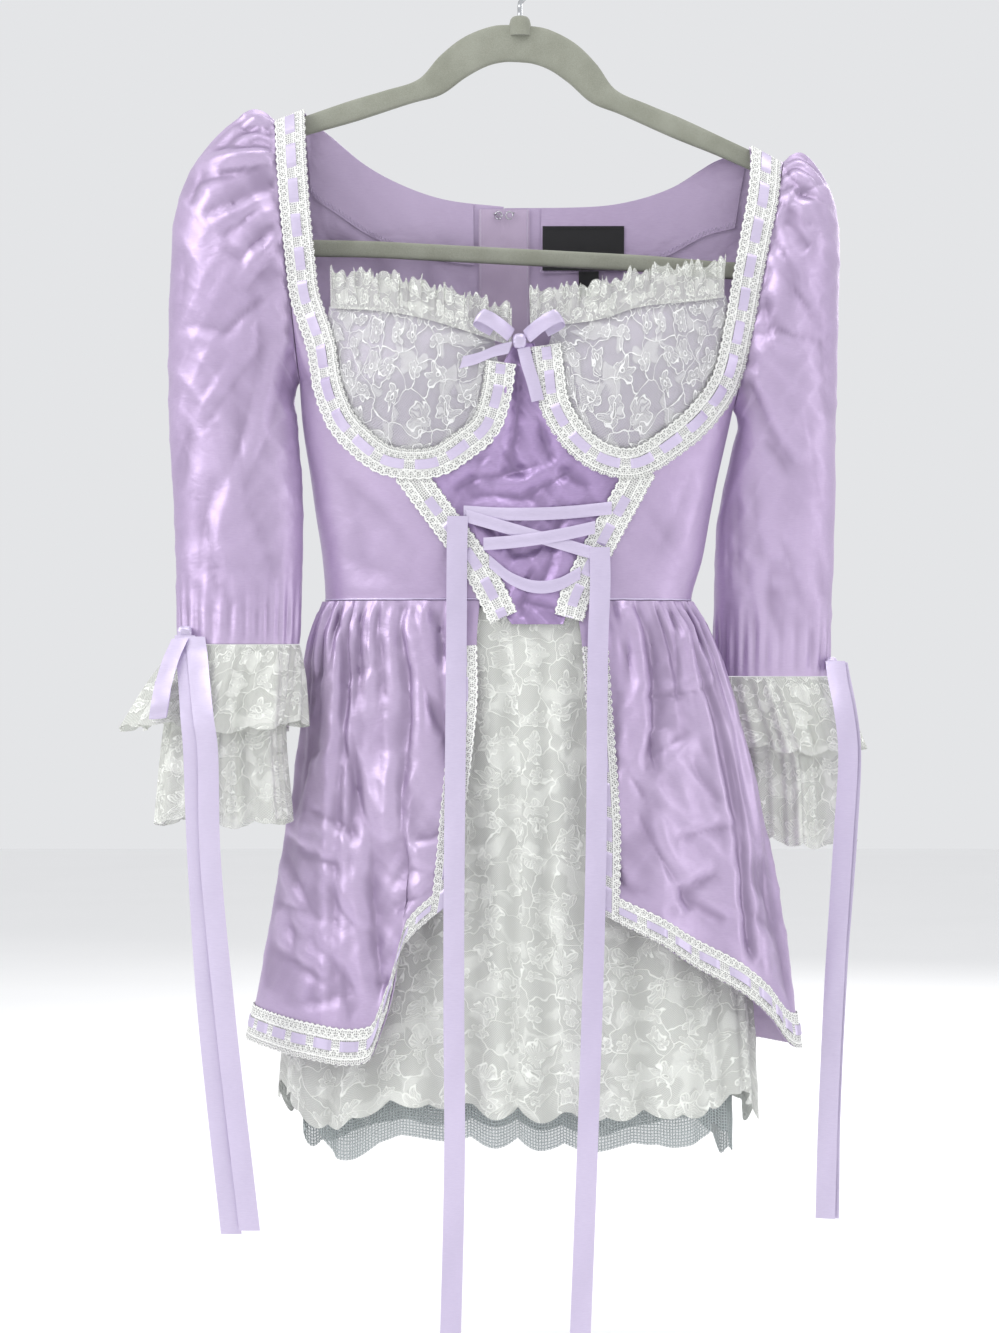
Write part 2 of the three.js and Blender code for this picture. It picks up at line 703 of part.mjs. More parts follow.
function cuffTier(side, tier) {
  const rings = CUFFS[side][tier];
  const value = (key) => curve(rings, 'z', key);
  const [x, y, width, depth, wave] = ['x', 'y', 'width', 'depth', 'wave'].map(value);
  const point = (u, z) => {
    const angle = 2 * Math.PI * u;
    const ripple = wave(z) * Math.cos(angle * CUFF_WAVES[tier]);
    return new THREE.Vector3(
      x(z) + (width(z) + ripple) * Math.sin(angle),
      y(z) - (depth(z) + ripple) * Math.cos(angle),
      z
    );
  };
  const out = (here) => new THREE.Vector3(here.x - x(here.z), here.y - y(here.z), 0);
  const columns = range(CUFF_WAVES[tier] * 4).slice(0, -1);
  const sheet = surface(columns, rings.map(({ z }) => z), point, out, true);
  addMesh(`cuff_${tier}_${side}`, layer(sheet, 0, -LACE), COLOURS.lace, 0.8);
}

// A point on a skirt layer by its angle from the front, with `angle` positive to the right
function skirtSection(table) {
  const keys = ['x', 'width', 'front', 'back', 'roundness'];
  const [x, width, front, behind, roundness] = keys.map((key) => curve(table, 'z', key));
  const signedPower = (value, power) => Math.sign(value) * Math.abs(value) ** power;
  return (angle, z, grow) => {
    const power = 2 / roundness(z);
    const depth = Math.cos(angle) > 0 ? front(z) : behind(z);
    return new THREE.Vector3(
      x(z) + (width(z) + grow) * signedPower(Math.sin(angle), power),
      -(depth + grow) * signedPower(Math.cos(angle), power),
      z
    );
  };
}

const fromMiddle = (here) => new THREE.Vector3(here.x, here.y, 0);

function overskirt(side) {
  const { sign } = SIDES[side];
  const section = skirtSection(OVERSKIRT);
  const hemAngle = curve(OVERSKIRT_HEM[side], 'at', 'angle');
  const hemZ = curve(OVERSKIRT_HEM[side], 'at', 'z');
  const columns = [0, ...range(OVERSKIRT_GATHERS * 4, EDGE_TRIM_SHARE, 1)];
  const rows = [0, 0.15, 0.5, HEM_TRIM_ROW, 1];
  const backGap = THREE.MathUtils.radToDeg(SEAM / 2 / 90);
  const point = (u, v) => {
    const hemDegrees = Math.min(hemAngle(u), 180 - backGap);
    const topDegrees = lerp(OVERSKIRT_TOP_ANGLE[side], 180 - 2 * backGap, u);
    const angle = THREE.MathUtils.degToRad(lerp(topDegrees, hemDegrees, v)) * sign;
    const z = lerp(WAIST_Z - SEAM, hemZ(u), v);
    const fromEdge = clamp(u / 0.12, 0, 1) * clamp((1 - u) / 0.04, 0, 1);
    const atSide = 0.35 + 0.65 * Math.cos(angle) ** 2;
    const gathers = GATHER_DEPTH * (1 - v) * (1 - Math.cos(2 * Math.PI * OVERSKIRT_GATHERS * u));
    const folds = FOLD_DEPTH * v * atSide * (1 - Math.cos(2 * Math.PI * OVERSKIRT_FOLDS * u));
    return section(angle, z, (fromEdge * (gathers + folds)) / 2);
  };
  const sheet = surface(columns, rows, point, fromMiddle);
  const last = columns.length - 1;
  addMesh(`overskirt_${side}`, layer(sheet, 0, -SATIN), COLOURS.satin, 0.35);
  const lift = [SEAM + LACE, SEAM];
  const edgePart = { columns: [0, 1], rows: [1, rows.length - 1] };
  addMesh(`edge_trim_${side}`, layer(sheet, ...lift, edgePart), COLOURS.lace, 0.8);
  const hemPart = { columns: [2, last], rows: [rows.length - 2, rows.length - 1] };
  addMesh(`hem_trim_${side}`, layer(sheet, ...lift, hemPart), COLOURS.lace, 0.8);
}

function skirtLayer(name, colour, roughness) {
  const { top, hem, hemWave, inward, shrink, folds, wave } = LAYERS[name];
  const section = skirtSection(INNER_SKIRT);
  const point = (u, row) => {
    const angle = 2 * Math.PI * u;
    const z = [top, -540, -680, hem + hemWave * Math.cos(angle * HEM_DIPS + 1)][row];
    const down = (top - z) / (top - hem);
    const ripple = (wave * down * (Math.cos(angle * folds) - 1)) / 2;
    return section(angle, z, ripple - inward - shrink * down);
  };
  const columns = range(folds * 4).slice(0, -1);
  const sheet = surface(columns, [0, 1, 2, 3], point, fromMiddle, true);
  addMesh(name, layer(sheet, 0, -LACE), colour, roughness);
}

// A flat ribbon of constant width along a route, `across` being its width's direction
function ribbon(name, route, across, width = RIBBON_WIDTH, cells = 3, steps = 10) {
  const line = new THREE.CatmullRomCurve3(route.map(([x, y, z]) => new THREE.Vector3(x, y, z)));
  const wide = new THREE.Vector3(...across).normalize();
  const point = (u, v) => line.getPointAt(u).addScaledVector(wide, width * (v - 0.5));
  const away = line.getTangentAt(0.5).cross(wide);
  const sheet = surface(range(steps), range(cells), point, () => away);
  addMesh(name, layer(sheet, RIBBON / 2, -RIBBON / 2), COLOURS.ribbon, 0.4);
}

// A point in front of the bodice, `lift` clear of it
function before(x, z, lift) {
  const here = frontPoint(x, z).addScaledVector(normalAt(frontPoint, x, z), lift);
  return [here.x, here.y, here.z];
}

// Ribbon crossings between the two side trims, each lying over the one before
function lacing() {
  const crossings = [
    { x1: -40, z1: -411, x2: 64, z2: -408 },
    { x1: -38, z1: -414, x2: 50, z2: -440 },
    { x1: -26, z1: -434, x2: 52, z2: -422 },
    { x1: -22, z1: -446, x2: 42, z2: -454 },
  ];
  const sags = [3, 0, 2, 14];
  const lifts = [3, 4.4, 5.8, 3];
  crossings.forEach(({ x1, z1, x2, z2 }, row) => {
    const route = [0, 0.25, 0.5, 0.75, 1].map((t) => {
      const sag = sags[row] * 4 * t * (1 - t);
      return before(lerp(x1, x2, t), lerp(z1, z2, t) - sag, lifts[row]);
    });
    ribbon(`lacing_${row + 1}`, route, [0, 0, 1], 9, 1, 8);
  });
}

function lacingEnds() {
  const left = [
    before(-44, -414, 5.9), before(-44.5, -440, 5), [-45, -57, -490], [-45.5, -65.5, -560], [-46, -74, -620],
    [-46.5, -82, -690], [-46.5, -86, -760], [-46, -87.5, -861], [-49, -88, -990], [-50, -88, -1015],
  ];
  const right = [
    before(55, -436, 6.2), before(55.5, -460, 5.4), [54.5, -59, -500], [53.5, -67, -560], [53, -75, -620],
    [51.5, -83, -690], [49.5, -86, -760], [46, -87.5, -861], [41, -88, -990], [40, -88, -1015],
  ];
  ribbon('lacing_end_left', left, [1, 0, 0]);
  ribbon('lacing_end_right', right, [1, 0, 0]);
}

// A knot is a small rounded block of wound ribbon
function knot(name, centre, size) {
  const geometry = new THREE.SphereGeometry(1, 8, 5);
  geometry.scale(size[0] / 2, size[1] / 2, size[2] / 2);
  geometry.translate(...centre);
  addMesh(name, geometry, COLOURS.ribbon, 0.4);
}

function centreBow() {
  const [, y] = before(0, -290, 3.8);
  knot('bow_knot', [-0.7, y, -291], [10, 7, 11]);
  const loopLeft = [
    [-6.5, y - 1, -287], [-14, y - 8.5, -281.5], [-23, y - 13.5, -276], [-29, y - 13.5, -274],
    [-31, y - 10, -276], [-27, y - 6.5, -279.5], [-19, y - 4.5, -283.5],
  ];
  const loopRight = [
    [4.1, y - 1, -288], [12, y - 8.5, -282], [21, y - 13.5, -276.5], [27, y - 13.5, -274.5],
    [29, y - 10, -276.5], [25, y - 6.5, -280], [17, y - 4.5, -284],
  ];
  ribbon('bow_loop_left', loopLeft, [0.5, 0, 0.85], 10, 1, 10);
  ribbon('bow_loop_right', loopRight, [-0.5, 0, 0.85], 10, 1, 10);
  const tailLeft = [
    before(-7.5, -296.3, 4.2), before(-19, -299, 3.2), before(-31, -304, 2.2), before(-42, -307, 1.4),
  ];
  const tailRight = [
    before(2, -296.4, 4), before(5, -308, 3.8), before(9, -320, 3.8), before(12.5, -333, 3.8),
  ];
  ribbon('bow_tail_left', tailLeft, [0.3, 0, 0.95], 9, 1, 6);
  ribbon('bow_tail_right', tailRight, [0.95, 0, 0.2], 9, 1, 6);
}

// Ribbon ties at the cuffs: a knot on the sleeve's hem, a loop and two long tails
function sleeveTies() {
  knot('tie_knot_left', [-236.6, -51.2, -497], [11, 8, 12]);
  const leftTailA = [
    [-236, -56.2, -498], [-235, -60, -510], [-232, -73, -530], [-229, -87, -556], [-227, -91, -575],
    [-224, -91, -650], [-217, -89, -760], [-201, -86, -914],
  ];
  const leftTailB = [
    [-229, -58.2, -499], [-227, -62.6, -510], [-224, -76, -530], [-220, -90, -556], [-217, -94, -575],
    [-215, -94.5, -650], [-205, -93, -760], [-188, -90, -911],
  ];
  const leftLoop = [
    [-239, -60.2, -500], [-245, -70, -516], [-249, -82, -534], [-251, -89, -548], [-252, -88, -556],
    [-252, -81, -555], [-251, -73, -544], [-250, -66, -530],
  ];
  ribbon('tie_tail_left_a', leftTailA, [1, 0, 0]);
  ribbon('tie_tail_left_b', leftTailB, [1, 0, 0]);
  ribbon('tie_loop_left', leftLoop, [1, 0, 0.1], 12, 1, 10);

  knot('tie_knot_right', [226.6, 23.2, -519], [9, 8, 12]);
  const rightTailA = [
    [230.4, 17.4, -517], [232.6, 14.3, -530], [236, 9, -550], [239, 6, -580], [236, 5, -645], [229, 5, -740],
    [224, 5, -846], [223, 5, -918],
  ];
  const rightTailB = [
    [228.5, 16.3, -516], [230.1, 12.6, -530], [233.5, 7, -550], [236.5, 4, -580], [233, 3, -645], [227, 3, -740],
    [222, 3, -846], [220, 3, -918],
  ];
  ribbon('tie_tail_right_a', rightTailA, [0.95, -0.3, 0]);
  ribbon('tie_tail_right_b', rightTailB, [0.95, -0.3, 0]);
}

// Zip guard inside the centre back, with the hook and eye over its top
function zipGuard() {
  const point = (u, z) => {
    const x = BACK_SEAM_X + GUARD_WIDTH * (u - 0.5);
    return backPoint(x, z).addScaledVector(normalAt(backPoint, x, z), -GUARD_INWARD);
  };
  const sheet = surface(range(4), range(8, -187, WAIST_Z + 2), point, toBack);
  addMesh('zip_guard', layer(sheet, 0, -GUARD_THICKNESS), COLOURS.guard, 0.5);
  const inside = backPoint(BACK_SEAM_X, EYE_Z).y - GUARD_INWARD - GUARD_THICKNESS - 1.8;
  [['top_eye', -4], ['top_hook', 4]].forEach(([name, shift]) => {
    const ring = new THREE.TorusGeometry(2.6, 0.45, 5, 9);
    ring.rotateX(Math.PI / 2 - 0.18);
    ring.translate(BACK_SEAM_X + shift, inside, EYE_Z);
    addMesh(name, ring, COLOURS.steel, 0.35, 1);
  });
}

// Labels inside the back, sewn over the facing
function label(name, x1, x2, z1, z2) {
  const point = (u, v) => {
    const x = lerp(x1, x2, u);
    const z = lerp(z1, z2, v);
    return backPoint(x, z).addScaledVector(normalAt(backPoint, x, z), -LABEL_INWARD);
  };
  const sheet = surface(range(4), range(2), point, toBack);
  addMesh(name, layer(sheet, 0, -LABEL_THICKNESS), COLOURS.label, 0.6);
}

// Slider with its bail, and the pull tab that turns on it
function zip() {
  const seat = backPoint(BACK_SEAM_X, SLIDER_Z);
  const above = backPoint(BACK_SEAM_X, SLIDER_Z + 10);
  const below = backPoint(BACK_SEAM_X, SLIDER_Z - 10);
  const lean = Math.atan2(below.y - above.y, 20);
  const slider = new THREE.Group();
  slider.position.set(BACK_SEAM_X, seat.y + SLIDER_LIFT, SLIDER_Z);
  slider.rotation.x = lean;
  dress.add(slider);

  const outline = new THREE.Shape();
  outline.moveTo(-4.5, 0);
  outline.lineTo(4.5, 0);
  outline.lineTo(4.5, 1.6);
  outline.lineTo(2.9, 1.8);
  outline.lineTo(2.4, 4.8);
  outline.lineTo(-2.4, 4.8);
  outline.lineTo(-2.9, 1.8);
  outline.lineTo(-4.5, 1.6);
  const hole = new THREE.Path();
  hole.moveTo(-1.5, 1.4);
  hole.lineTo(-1.5, 4);
  hole.lineTo(1.5, 4);
  hole.lineTo(1.5, 1.4);
  outline.holes.push(hole);
  const body = new THREE.ExtrudeGeometry(outline, { depth: 1.6, bevelEnabled: false });
  body.translate(0, 0, -0.8);
  body.rotateY(-Math.PI / 2);
  const steel = new THREE.MeshStandardMaterial({ color: COLOURS.steel, roughness: 0.35, metalness: 1 });
  const sliderMesh = new THREE.Mesh(body, steel);
  sliderMesh.name = 'zip_slider';
  slider.add(sliderMesh);

  const tab = new THREE.Shape();
  tab.moveTo(-2.6, 0.6);
  tab.lineTo(-2.6, -18);
  tab.lineTo(-1.6, -20);
  tab.lineTo(1.6, -20);
  tab.lineTo(2.6, -18);
  tab.lineTo(2.6, 0.6);
  const eye = new THREE.Path();
  eye.moveTo(-1.3, -0.6);
  eye.lineTo(1.3, -0.6);
  eye.lineTo(1.3, -4);
  eye.lineTo(-1.3, -4);
  tab.holes.push(eye);
  const pull = new THREE.ExtrudeGeometry(tab, { depth: 1.2, bevelEnabled: false });
  pull.translate(0, 0, -0.6);
  pull.rotateX(Math.PI / 2);
  const pullMesh = new THREE.Mesh(pull, steel.clone());
  pullMesh.name = 'zip_pull';
  pullMesh.position.set(0, PULL_PIVOT, 0);
  slider.add(pullMesh);
}

function hanger() {
  const mirrored = (rows) => [
    ...rows.map(({ x, z }) => new THREE.Vector2(x, z)),
    ...[...rows].reverse().map(({ x, z }) => new THREE.Vector2(-x, z)),
  ];
  const outline = new THREE.Shape(mirrored(HANGER_OUTER));
  outline.holes.push(new THREE.Path(mirrored(HANGER_INNER).reverse()));
  const body = new THREE.ExtrudeGeometry(outline, { depth: HANGER_THICKNESS, bevelEnabled: false });
  body.translate(0, 0, -HANGER_THICKNESS / 2);
  body.rotateX(Math.PI / 2);
  const mesh = addMesh('hanger_body', body, COLOURS.velvet, 0.9);
  mesh.position.z = HANGER_TOP_Z;
  mesh.rotation.y = -HANGER_TILT;

  const radius = HOOK_INSIDE_RADIUS + HOOK_WIRE / 2;
  const centreZ = -HOOK_INSIDE_RADIUS;
  const turn = (degrees) => {
    const angle = THREE.MathUtils.degToRad(degrees);
    return new THREE.Vector3(radius * Math.cos(angle), 0, centreZ + radius * Math.sin(angle));
  };
  const stem = [-51.2, -47, -43].map((z) => new THREE.Vector3(0, 0, z));
  const route = [...stem, ...[-52, -30, 0, 30, 60, 90, 120, 150, 180, 212].map(turn)];
  const wire = new THREE.Shape();
  wire.absarc(0, 0, HOOK_WIRE / 2, 0, 2 * Math.PI);
  const hook = new THREE.ExtrudeGeometry(wire, {
    extrudePath: new THREE.CatmullRomCurve3(route),
    steps: 24,
    curveSegments: 4,
    bevelEnabled: false,
  });
  addMesh('hanger_hook', hook, COLOURS.steel, 0.3, 1);
}

hanger();
for (const side of ['left', 'right']) {
  back(side);
  sideFront(side);
  cup(side);
  strip(`neck_trim_${side}`, side, NECK_TRIM[side], [0, 0.01, 0.03, ...range(22, 0.07)]);
  strip(`front_trim_${side}`, side, V_TRIM[side], range(7));
  cupFrill(side);
  sleeve(side);
  cuffTier(side, 'upper');
  cuffTier(side, 'lower');
  overskirt(side);
}
stomacher();
skirtLayer('lace_underskirt', COLOURS.lace, 0.8);
skirtLayer('skirt_lining', COLOURS.lining, 0.6);
skirtLayer('net_petticoat', COLOURS.net, 0.8);
lacing();
lacingEnds();
centreBow();
sleeveTies();
zipGuard();
label('neck_label', 16.6, 76, -199, -231);
label('size_label', 43, 57.6, -231.4, -249);
zip();

export default dress;
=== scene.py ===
import math

import bpy
import numpy as np
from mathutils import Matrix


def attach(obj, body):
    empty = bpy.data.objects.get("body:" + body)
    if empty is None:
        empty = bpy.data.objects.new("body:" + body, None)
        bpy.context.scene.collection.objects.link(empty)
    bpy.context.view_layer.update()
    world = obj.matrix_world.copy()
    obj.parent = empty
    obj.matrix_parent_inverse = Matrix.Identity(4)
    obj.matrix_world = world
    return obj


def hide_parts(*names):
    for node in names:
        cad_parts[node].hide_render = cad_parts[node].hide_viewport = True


# A lilac satin corset dress with lace cups, laced front, puffed sleeves and an open overskirt,
# hung on a slim flocked hanger. Tables are in millimetres; meshes are made in metres.

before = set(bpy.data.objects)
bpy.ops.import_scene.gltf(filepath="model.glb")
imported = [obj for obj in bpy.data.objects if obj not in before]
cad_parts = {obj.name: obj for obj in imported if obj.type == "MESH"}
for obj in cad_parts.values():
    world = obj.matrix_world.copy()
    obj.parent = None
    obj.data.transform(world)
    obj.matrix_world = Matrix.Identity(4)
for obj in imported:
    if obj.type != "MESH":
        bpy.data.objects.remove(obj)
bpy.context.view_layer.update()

MM = 0.001
SATIN_WALL = 0.6
LACE_WALL = 0.4
RIBBON_WALL = 0.35
TRIM_LIFT = 1.5
TRIM_WIDTH = 21.0
RIBBON_WIDTH = 14.5
SIDE_SEAM = 1.6
WAIST_Z = -473.0
ROUNDNESS = 2.5
CUP_DEPTH = 24.0
CUP_SPREAD = (55.0, 50.0)
CUP_SCALE = 0.975
ARMHOLE_DEPTH = 28.0
SHOULDER_FADE = 70.0
BACK_SEAM_X = -11.5
FACING_DEPTH = 46.0
STRAP_POINTS = 5
SLEEVE_GATHERS = 8
CUFF_WAVES = {"upper": 8, "lower": 7}
OVERSKIRT_GATHERS = 14
OVERSKIRT_FOLDS = 5
OVERSKIRT_TOP_ANGLE = {"left": 5.5, "right": 16.0}
GATHER_DEPTH = 2.2
FOLD_DEPTH = 10.0
EDGE_TRIM_SHARE = 0.045
HEM_TRIM_ROW = 0.925
FOLD_GAIN = 1.7
# Fold depth in mm that scales the painted shade laid into fold troughs.
FOLD_SHADE_SCALE = 2.6
SATIN_ROUGHNESS = 0.39
EDGING_PITCH = 0.0052
EDGING_GROUND = 0.35
SCALLOP_PITCH = 5.6
SCALLOP_REACH = 1.3
THREADING_PITCH = 24.0
THREADED_RIBBON = (-3.4, -1.2, 1.2, 3.4)
STITCH = 3.2
HANGER_TILT = 3
HANGER_DROP = 58
HANGER_HALF_THICKNESS = 2.95
HANGER_SQUARENESS = 0.55
SEEN_FROM = 2.4
SEEN_HEIGHT = 0.9598

SIDES = {
    "left": {
        "sign": -1, "topX": -176, "topZ": -127, "underX": -158, "underZ": -316,
        "slope": 0.36, "cupX": -79, "cupZ": -315,
    },
    "right": {
        "sign": 1, "topX": 189, "topZ": -157, "underX": 153, "underZ": -336,
        "slope": 0.47, "cupX": 86, "cupZ": -313,
    },
}
BODY = {
    "z": [-490, -473, -443, -410, -385, -345, -300, -250, -200, -160, -127],
    "left": [-142, -140, -142, -147, -150.5, -156.5, -159.5, -164, -169, -173, -176],
    "right": [126, 123, 131, 137, 142, 151, 160, 171, 180, 188, 195],
    "centre": [-8, -8, -6, -5, -4, -2, 0, 3, 5, 5, 5],
    "front": [53, 50, 49, 48, 48, 48, 47, 42, 34, 24, 14],
    "back": [47, 46, 45, 44, 43.5, 42, 39, 35, 29, 23, 14],
}
FRONT_INNER = {
    "left": {
        "z": [
            -127, -162, -197, -233, -256, -275, -292, -321, -346, -360, -373, -378, -384, -398,
            -422, -447, -473,
        ],
        "x": [
            -155, -153, -151, -147, -145, -145.5, -142, -137, -127, -115, -98, -82, -74, -69, -50,
            -33, -19,
        ],
    },
    "right": {
        "z": [
            -157, -188, -216, -245, -262, -278, -317, -342, -360, -373, -378, -387, -410, -425,
            -450, -473,
        ],
        "x": [165, 163, 157, 151, 151.5, 155.5, 146.5, 129.5, 110, 92, 86, 82, 69, 61, 48.5, 37],
    },
}
STOMACHER = {
    "z": [-292, -306, -328, -351, -364, -374, -381, -387, -398, -422, -447, -473, -490],
    "left": [-4, -11.5, -13.5, -22, -37, -55, -73, -72.5, -68, -49, -32, -18, -6],
    "right": [9, 15, 19.5, 31, 44, 62, 82, 81, 75, 62, 49.5, 36, 30],
}
CUP_TOP = {
    "left": {
        "x": [-137, -102, -74, -42, -17],
        "z": [-263, -266, -271, -280, -288],
    },
    "right": {
        "x": [147, 121, 84, 55, 22],
        "z": [-255, -259, -264, -273, -277],
    },
}
NECK_TRIM = {
    "left": {
        "x": [
            -165, -163, -160, -156, -153, -141, -136, -126, -114, -97, -79, -58, -40, -25, -17,
            -14,
        ],
        "z": [
            -128.5, -162, -197, -233, -256, -292, -321, -346, -360, -373, -377, -375, -364, -351,
            -328, -306,
        ],
    },
    "right": {
        "x": [176, 173, 167, 161, 158, 155, 145, 128, 108, 81, 58, 38, 24, 20, 18],
        "z": [
            -158.5, -188, -216, -245, -262, -278, -317, -342, -360, -376, -373, -358, -335, -310,
            -294,
        ],
    },
}
V_TRIM = {
    "left": {
        "x": [-68.5, -50, -32, -19, -12],
        "z": [-397, -422, -447, -471, -486],
    },
    "right": {
        "x": [76.5, 61, 48, 38, 34],
        "z": [-397, -425, -450, -472, -486],
    },
}
BACK_NECK = {
    "left": {
        "x": [-12, -55, -86, -114, -138, -155],
        "z": [-185, -180, -170, -155, -135, -122],
    },
    "right": {
        "x": [-11, 55, 84, 114, 140, 165],
        "z": [-185, -184, -180, -170, -154, -147],
    },
}
SLEEVE = {
    "left": {
        "topX": [-176.6, -191, -213, -236, -248, -252, -253, -252, -248, -243],
        "topZ": [-127, -123, -136, -162, -194, -240, -292, -350, -410, -504],
        "underX": [-158.6, -159.8, -160.6, -161.2, -161.6, -161.6, -161, -159, -155, -157],
        "underZ": [-316, -318.5, -321, -324, -327, -330.5, -335, -352, -410, -504],
        "depth": [28, 33, 37, 38, 37, 35, 33, 31, 30, 27],
        "y": [0, 0, 0, 0, -1, -2, -4, -8, -15, -31],
    },
    "right": {
        "topX": [189.6, 202, 215, 225, 230, 230, 229, 228, 228, 226],
        "topZ": [-157, -153, -165, -183, -210, -250, -305, -365, -425, -527],
        "underX": [153.6, 155, 156, 156.6, 157, 156.6, 155, 151, 142, 141],
        "underZ": [-336, -338.5, -341, -344, -347, -350.5, -356, -372, -425, -527],
        "depth": [28, 33, 37, 38, 37, 35, 33, 31, 30, 26],
        "y": [0, 0, 0, 0, 1, 2, 4, 8, 16, 38],
    },
}
CUFFS = {
    "left": {
        "upper": {
            "z": [-504.6, -528, -562],
            "x": [-200, -208, -218],
            "y": [-31, -33, -36],
            "width": [43, 52, 61],
            "depth": [27, 35, 42],
            "wave": [0, 3, 6],
        },
        "lower": {
            "z": [-506, -560, -629],
            "x": [-200, -210, -211],
            "y": [-31, -35, -38],
            "width": [41, 41, 46],
            "depth": [25, 31, 35],
            "wave": [0, 3, 4],
        },
    },
    "right": {
        "upper": {
            "z": [-527.6, -550, -580],
            "x": [183.5, 191, 201],
            "y": [38, 42, 46],
            "width": [42.5, 47, 49],
            "depth": [26, 31, 34],
            "wave": [0, 2, 4],
        },
        "lower": {
            "z": [-529, -580, -648],
            "x": [183.5, 201, 205],
            "y": [38, 46, 47],
            "width": [40.5, 38, 40],
            "depth": [24, 26, 30],
            "wave": [0, 2, 4],
        },
    },
}
OVERSKIRT = {
    "z": [-473, -500, -544, -630, -688, -760, -797],
    "x": [-8.5, -6, -1, 4, 5, 3.5, 2],
    "width": [131.5, 144, 154, 170, 180, 190.5, 197],
    "front": [50, 54, 61, 72, 80, 88, 93],
    "back": [46, 51, 59, 71, 79, 87, 92],
    "roundness": [2.5, 2.4, 2.2, 2.1, 2, 2, 2],
}
INNER_SKIRT = {
    "z": [-473, -500, -544, -630, -688, -760, -835, -870],
    "x": [-8.5, -6, -2, 1, 1, -1, -2, -2],
    "width": [131.5, 138, 146, 158, 164, 171, 176, 178],
    "front": [50, 51, 54, 61, 66, 73, 80, 82],
    "back": [46, 47, 51, 60, 65, 72, 78, 80],
    "roundness": [2.5, 2.4, 2.2, 2.1, 2, 2, 2, 2],
}
OVERSKIRT_HEM = {
    "left": {
        "at": [0, 0.09, 0.13, 0.17, 0.21, 0.32, 0.5, 1],
        "angle": [17, 27, 28.5, 31, 34, 50, 90, 180],
        "z": [-683, -714, -748, -774, -796, -794, -786, -788],
    },
    "right": {
        "at": [0, 0.09, 0.17, 0.25, 0.32, 0.42, 0.5, 1],
        "angle": [15, 26, 37, 50, 62, 77, 90, 180],
        "z": [-690, -708, -727, -746, -768, -790, -793, -788],
    },
}
HANGER_OUTER = {
    "x": [8.6, 9, 20, 40, 56.5, 71, 95, 119, 150, 187, 212, 221, 222, 216, 203, 186],
    "z": [
        6, -0.5, -2, -11, -25.4, -43, -52.5, -61, -73.5, -88.7, -100, -110, -122, -145, -164, -173,
    ],
}
HANGER_INNER = {
    "x": [10, 22, 37, 54, 75, 114, 149, 185, 203, 209, 204, 195, 183],
    "z": [-27.5, -31, -40, -53.3, -60.5, -75.5, -87.5, -102, -112, -122, -141, -155, -161],
}
SLEEVE_GATHER_DEPTH = [0.6, 2.4, 2.2, 1.2, 0.4, 0, 0, 0, 0, 0]

# Skirt layers: top, hem, hem wave, gap inward at the waist, how much more at the hem, folds, wave
LAYERS = {
    "lace_underskirt": (-478, -833, 7, 1.9, 0, 16, 5),
    "skirt_lining": (-480, -822, 0, 3.6, 9, 8, 3),
    "net_petticoat": (-482, -857, 6, 5.3, 17, 8, 4),
}

# Pressed-in folds: from x, z to x, z, then how deep and how wide
FRONT_CREASES = [
    (-168, -263, -143, -314, 0.9, 5), (-164, -292, -137, -342, 0.7, 6),
    (-158, -256, -150, -288, 0.8, 4), (-137, -378, -72, -443, 0.5, 9),
    (-145, -429, -72, -461, 0.4, 10), (-86, -378, -36, -443, 0.7, 7),
    (-126, -386, -108, -465, 0.4, 9), (144, -278, 130, -364, 0.7, 6),
    (155, -328, 138, -414, 0.5, 8), (86, -400, 130, -465, 0.5, 9),
    (162, -278, 157, -364, 0.6, 5), (122, -378, 94, -443, 0.5, 8),
    (-143, -468, -50, -465, 0.4, 4), (-58, -465, -47, -429, 0.6, 6),
    (-158, -328, -150, -414, 0.5, 6),
]
PANEL_CREASES = [
    (-3, -299, -9, -386, 1.8, 6), (12, -342, 23, -378, 1.6, 5), (-22, -386, 18, -376, 1.5, 5),
    (-47, -396, -20, -384, 1.6, 5), (26, -378, 50, -394, 1.6, 5), (-13, -368, 7, -391, 1.4, 4.5),
    (-14, -328, -24, -357, 1.2, 5), (18, -324, 29, -350, 1.2, 5), (-36, -400, 14, -404, 1.3, 5),
    (0, -400, 40, -378, 1.3, 5), (-30, -414, 0, -443, 1.2, 5), (29, -407, 14, -465, 1.2, 5),
    (-14, -443, 29, -429, 1, 5), (-7, -472, 29, -481, 0.9, 4), (9, -443, 0, -486, 1.2, 5),
    (-23, -368, -36, -390, 1.2, 4),
]
BACK_CREASES = [
    (-137, -198, -72, -256, 0.8, 8), (-158, -278, -101, -292, 0.7, 8),
    (-72, -206, -29, -342, 0.7, 9), (29, -227, 86, -278, 0.8, 8), (58, -256, 158, -285, 0.8, 8),
    (0, -350, 58, -414, 0.7, 9), (-130, -350, -58, -414, 0.7, 9), (86, -328, 144, -378, 0.7, 8),
    (-137, -443, -29, -458, 0.5, 7), (14, -458, 122, -443, 0.5, 7),
    (-36, -278, -14, -443, 0.6, 8),
]
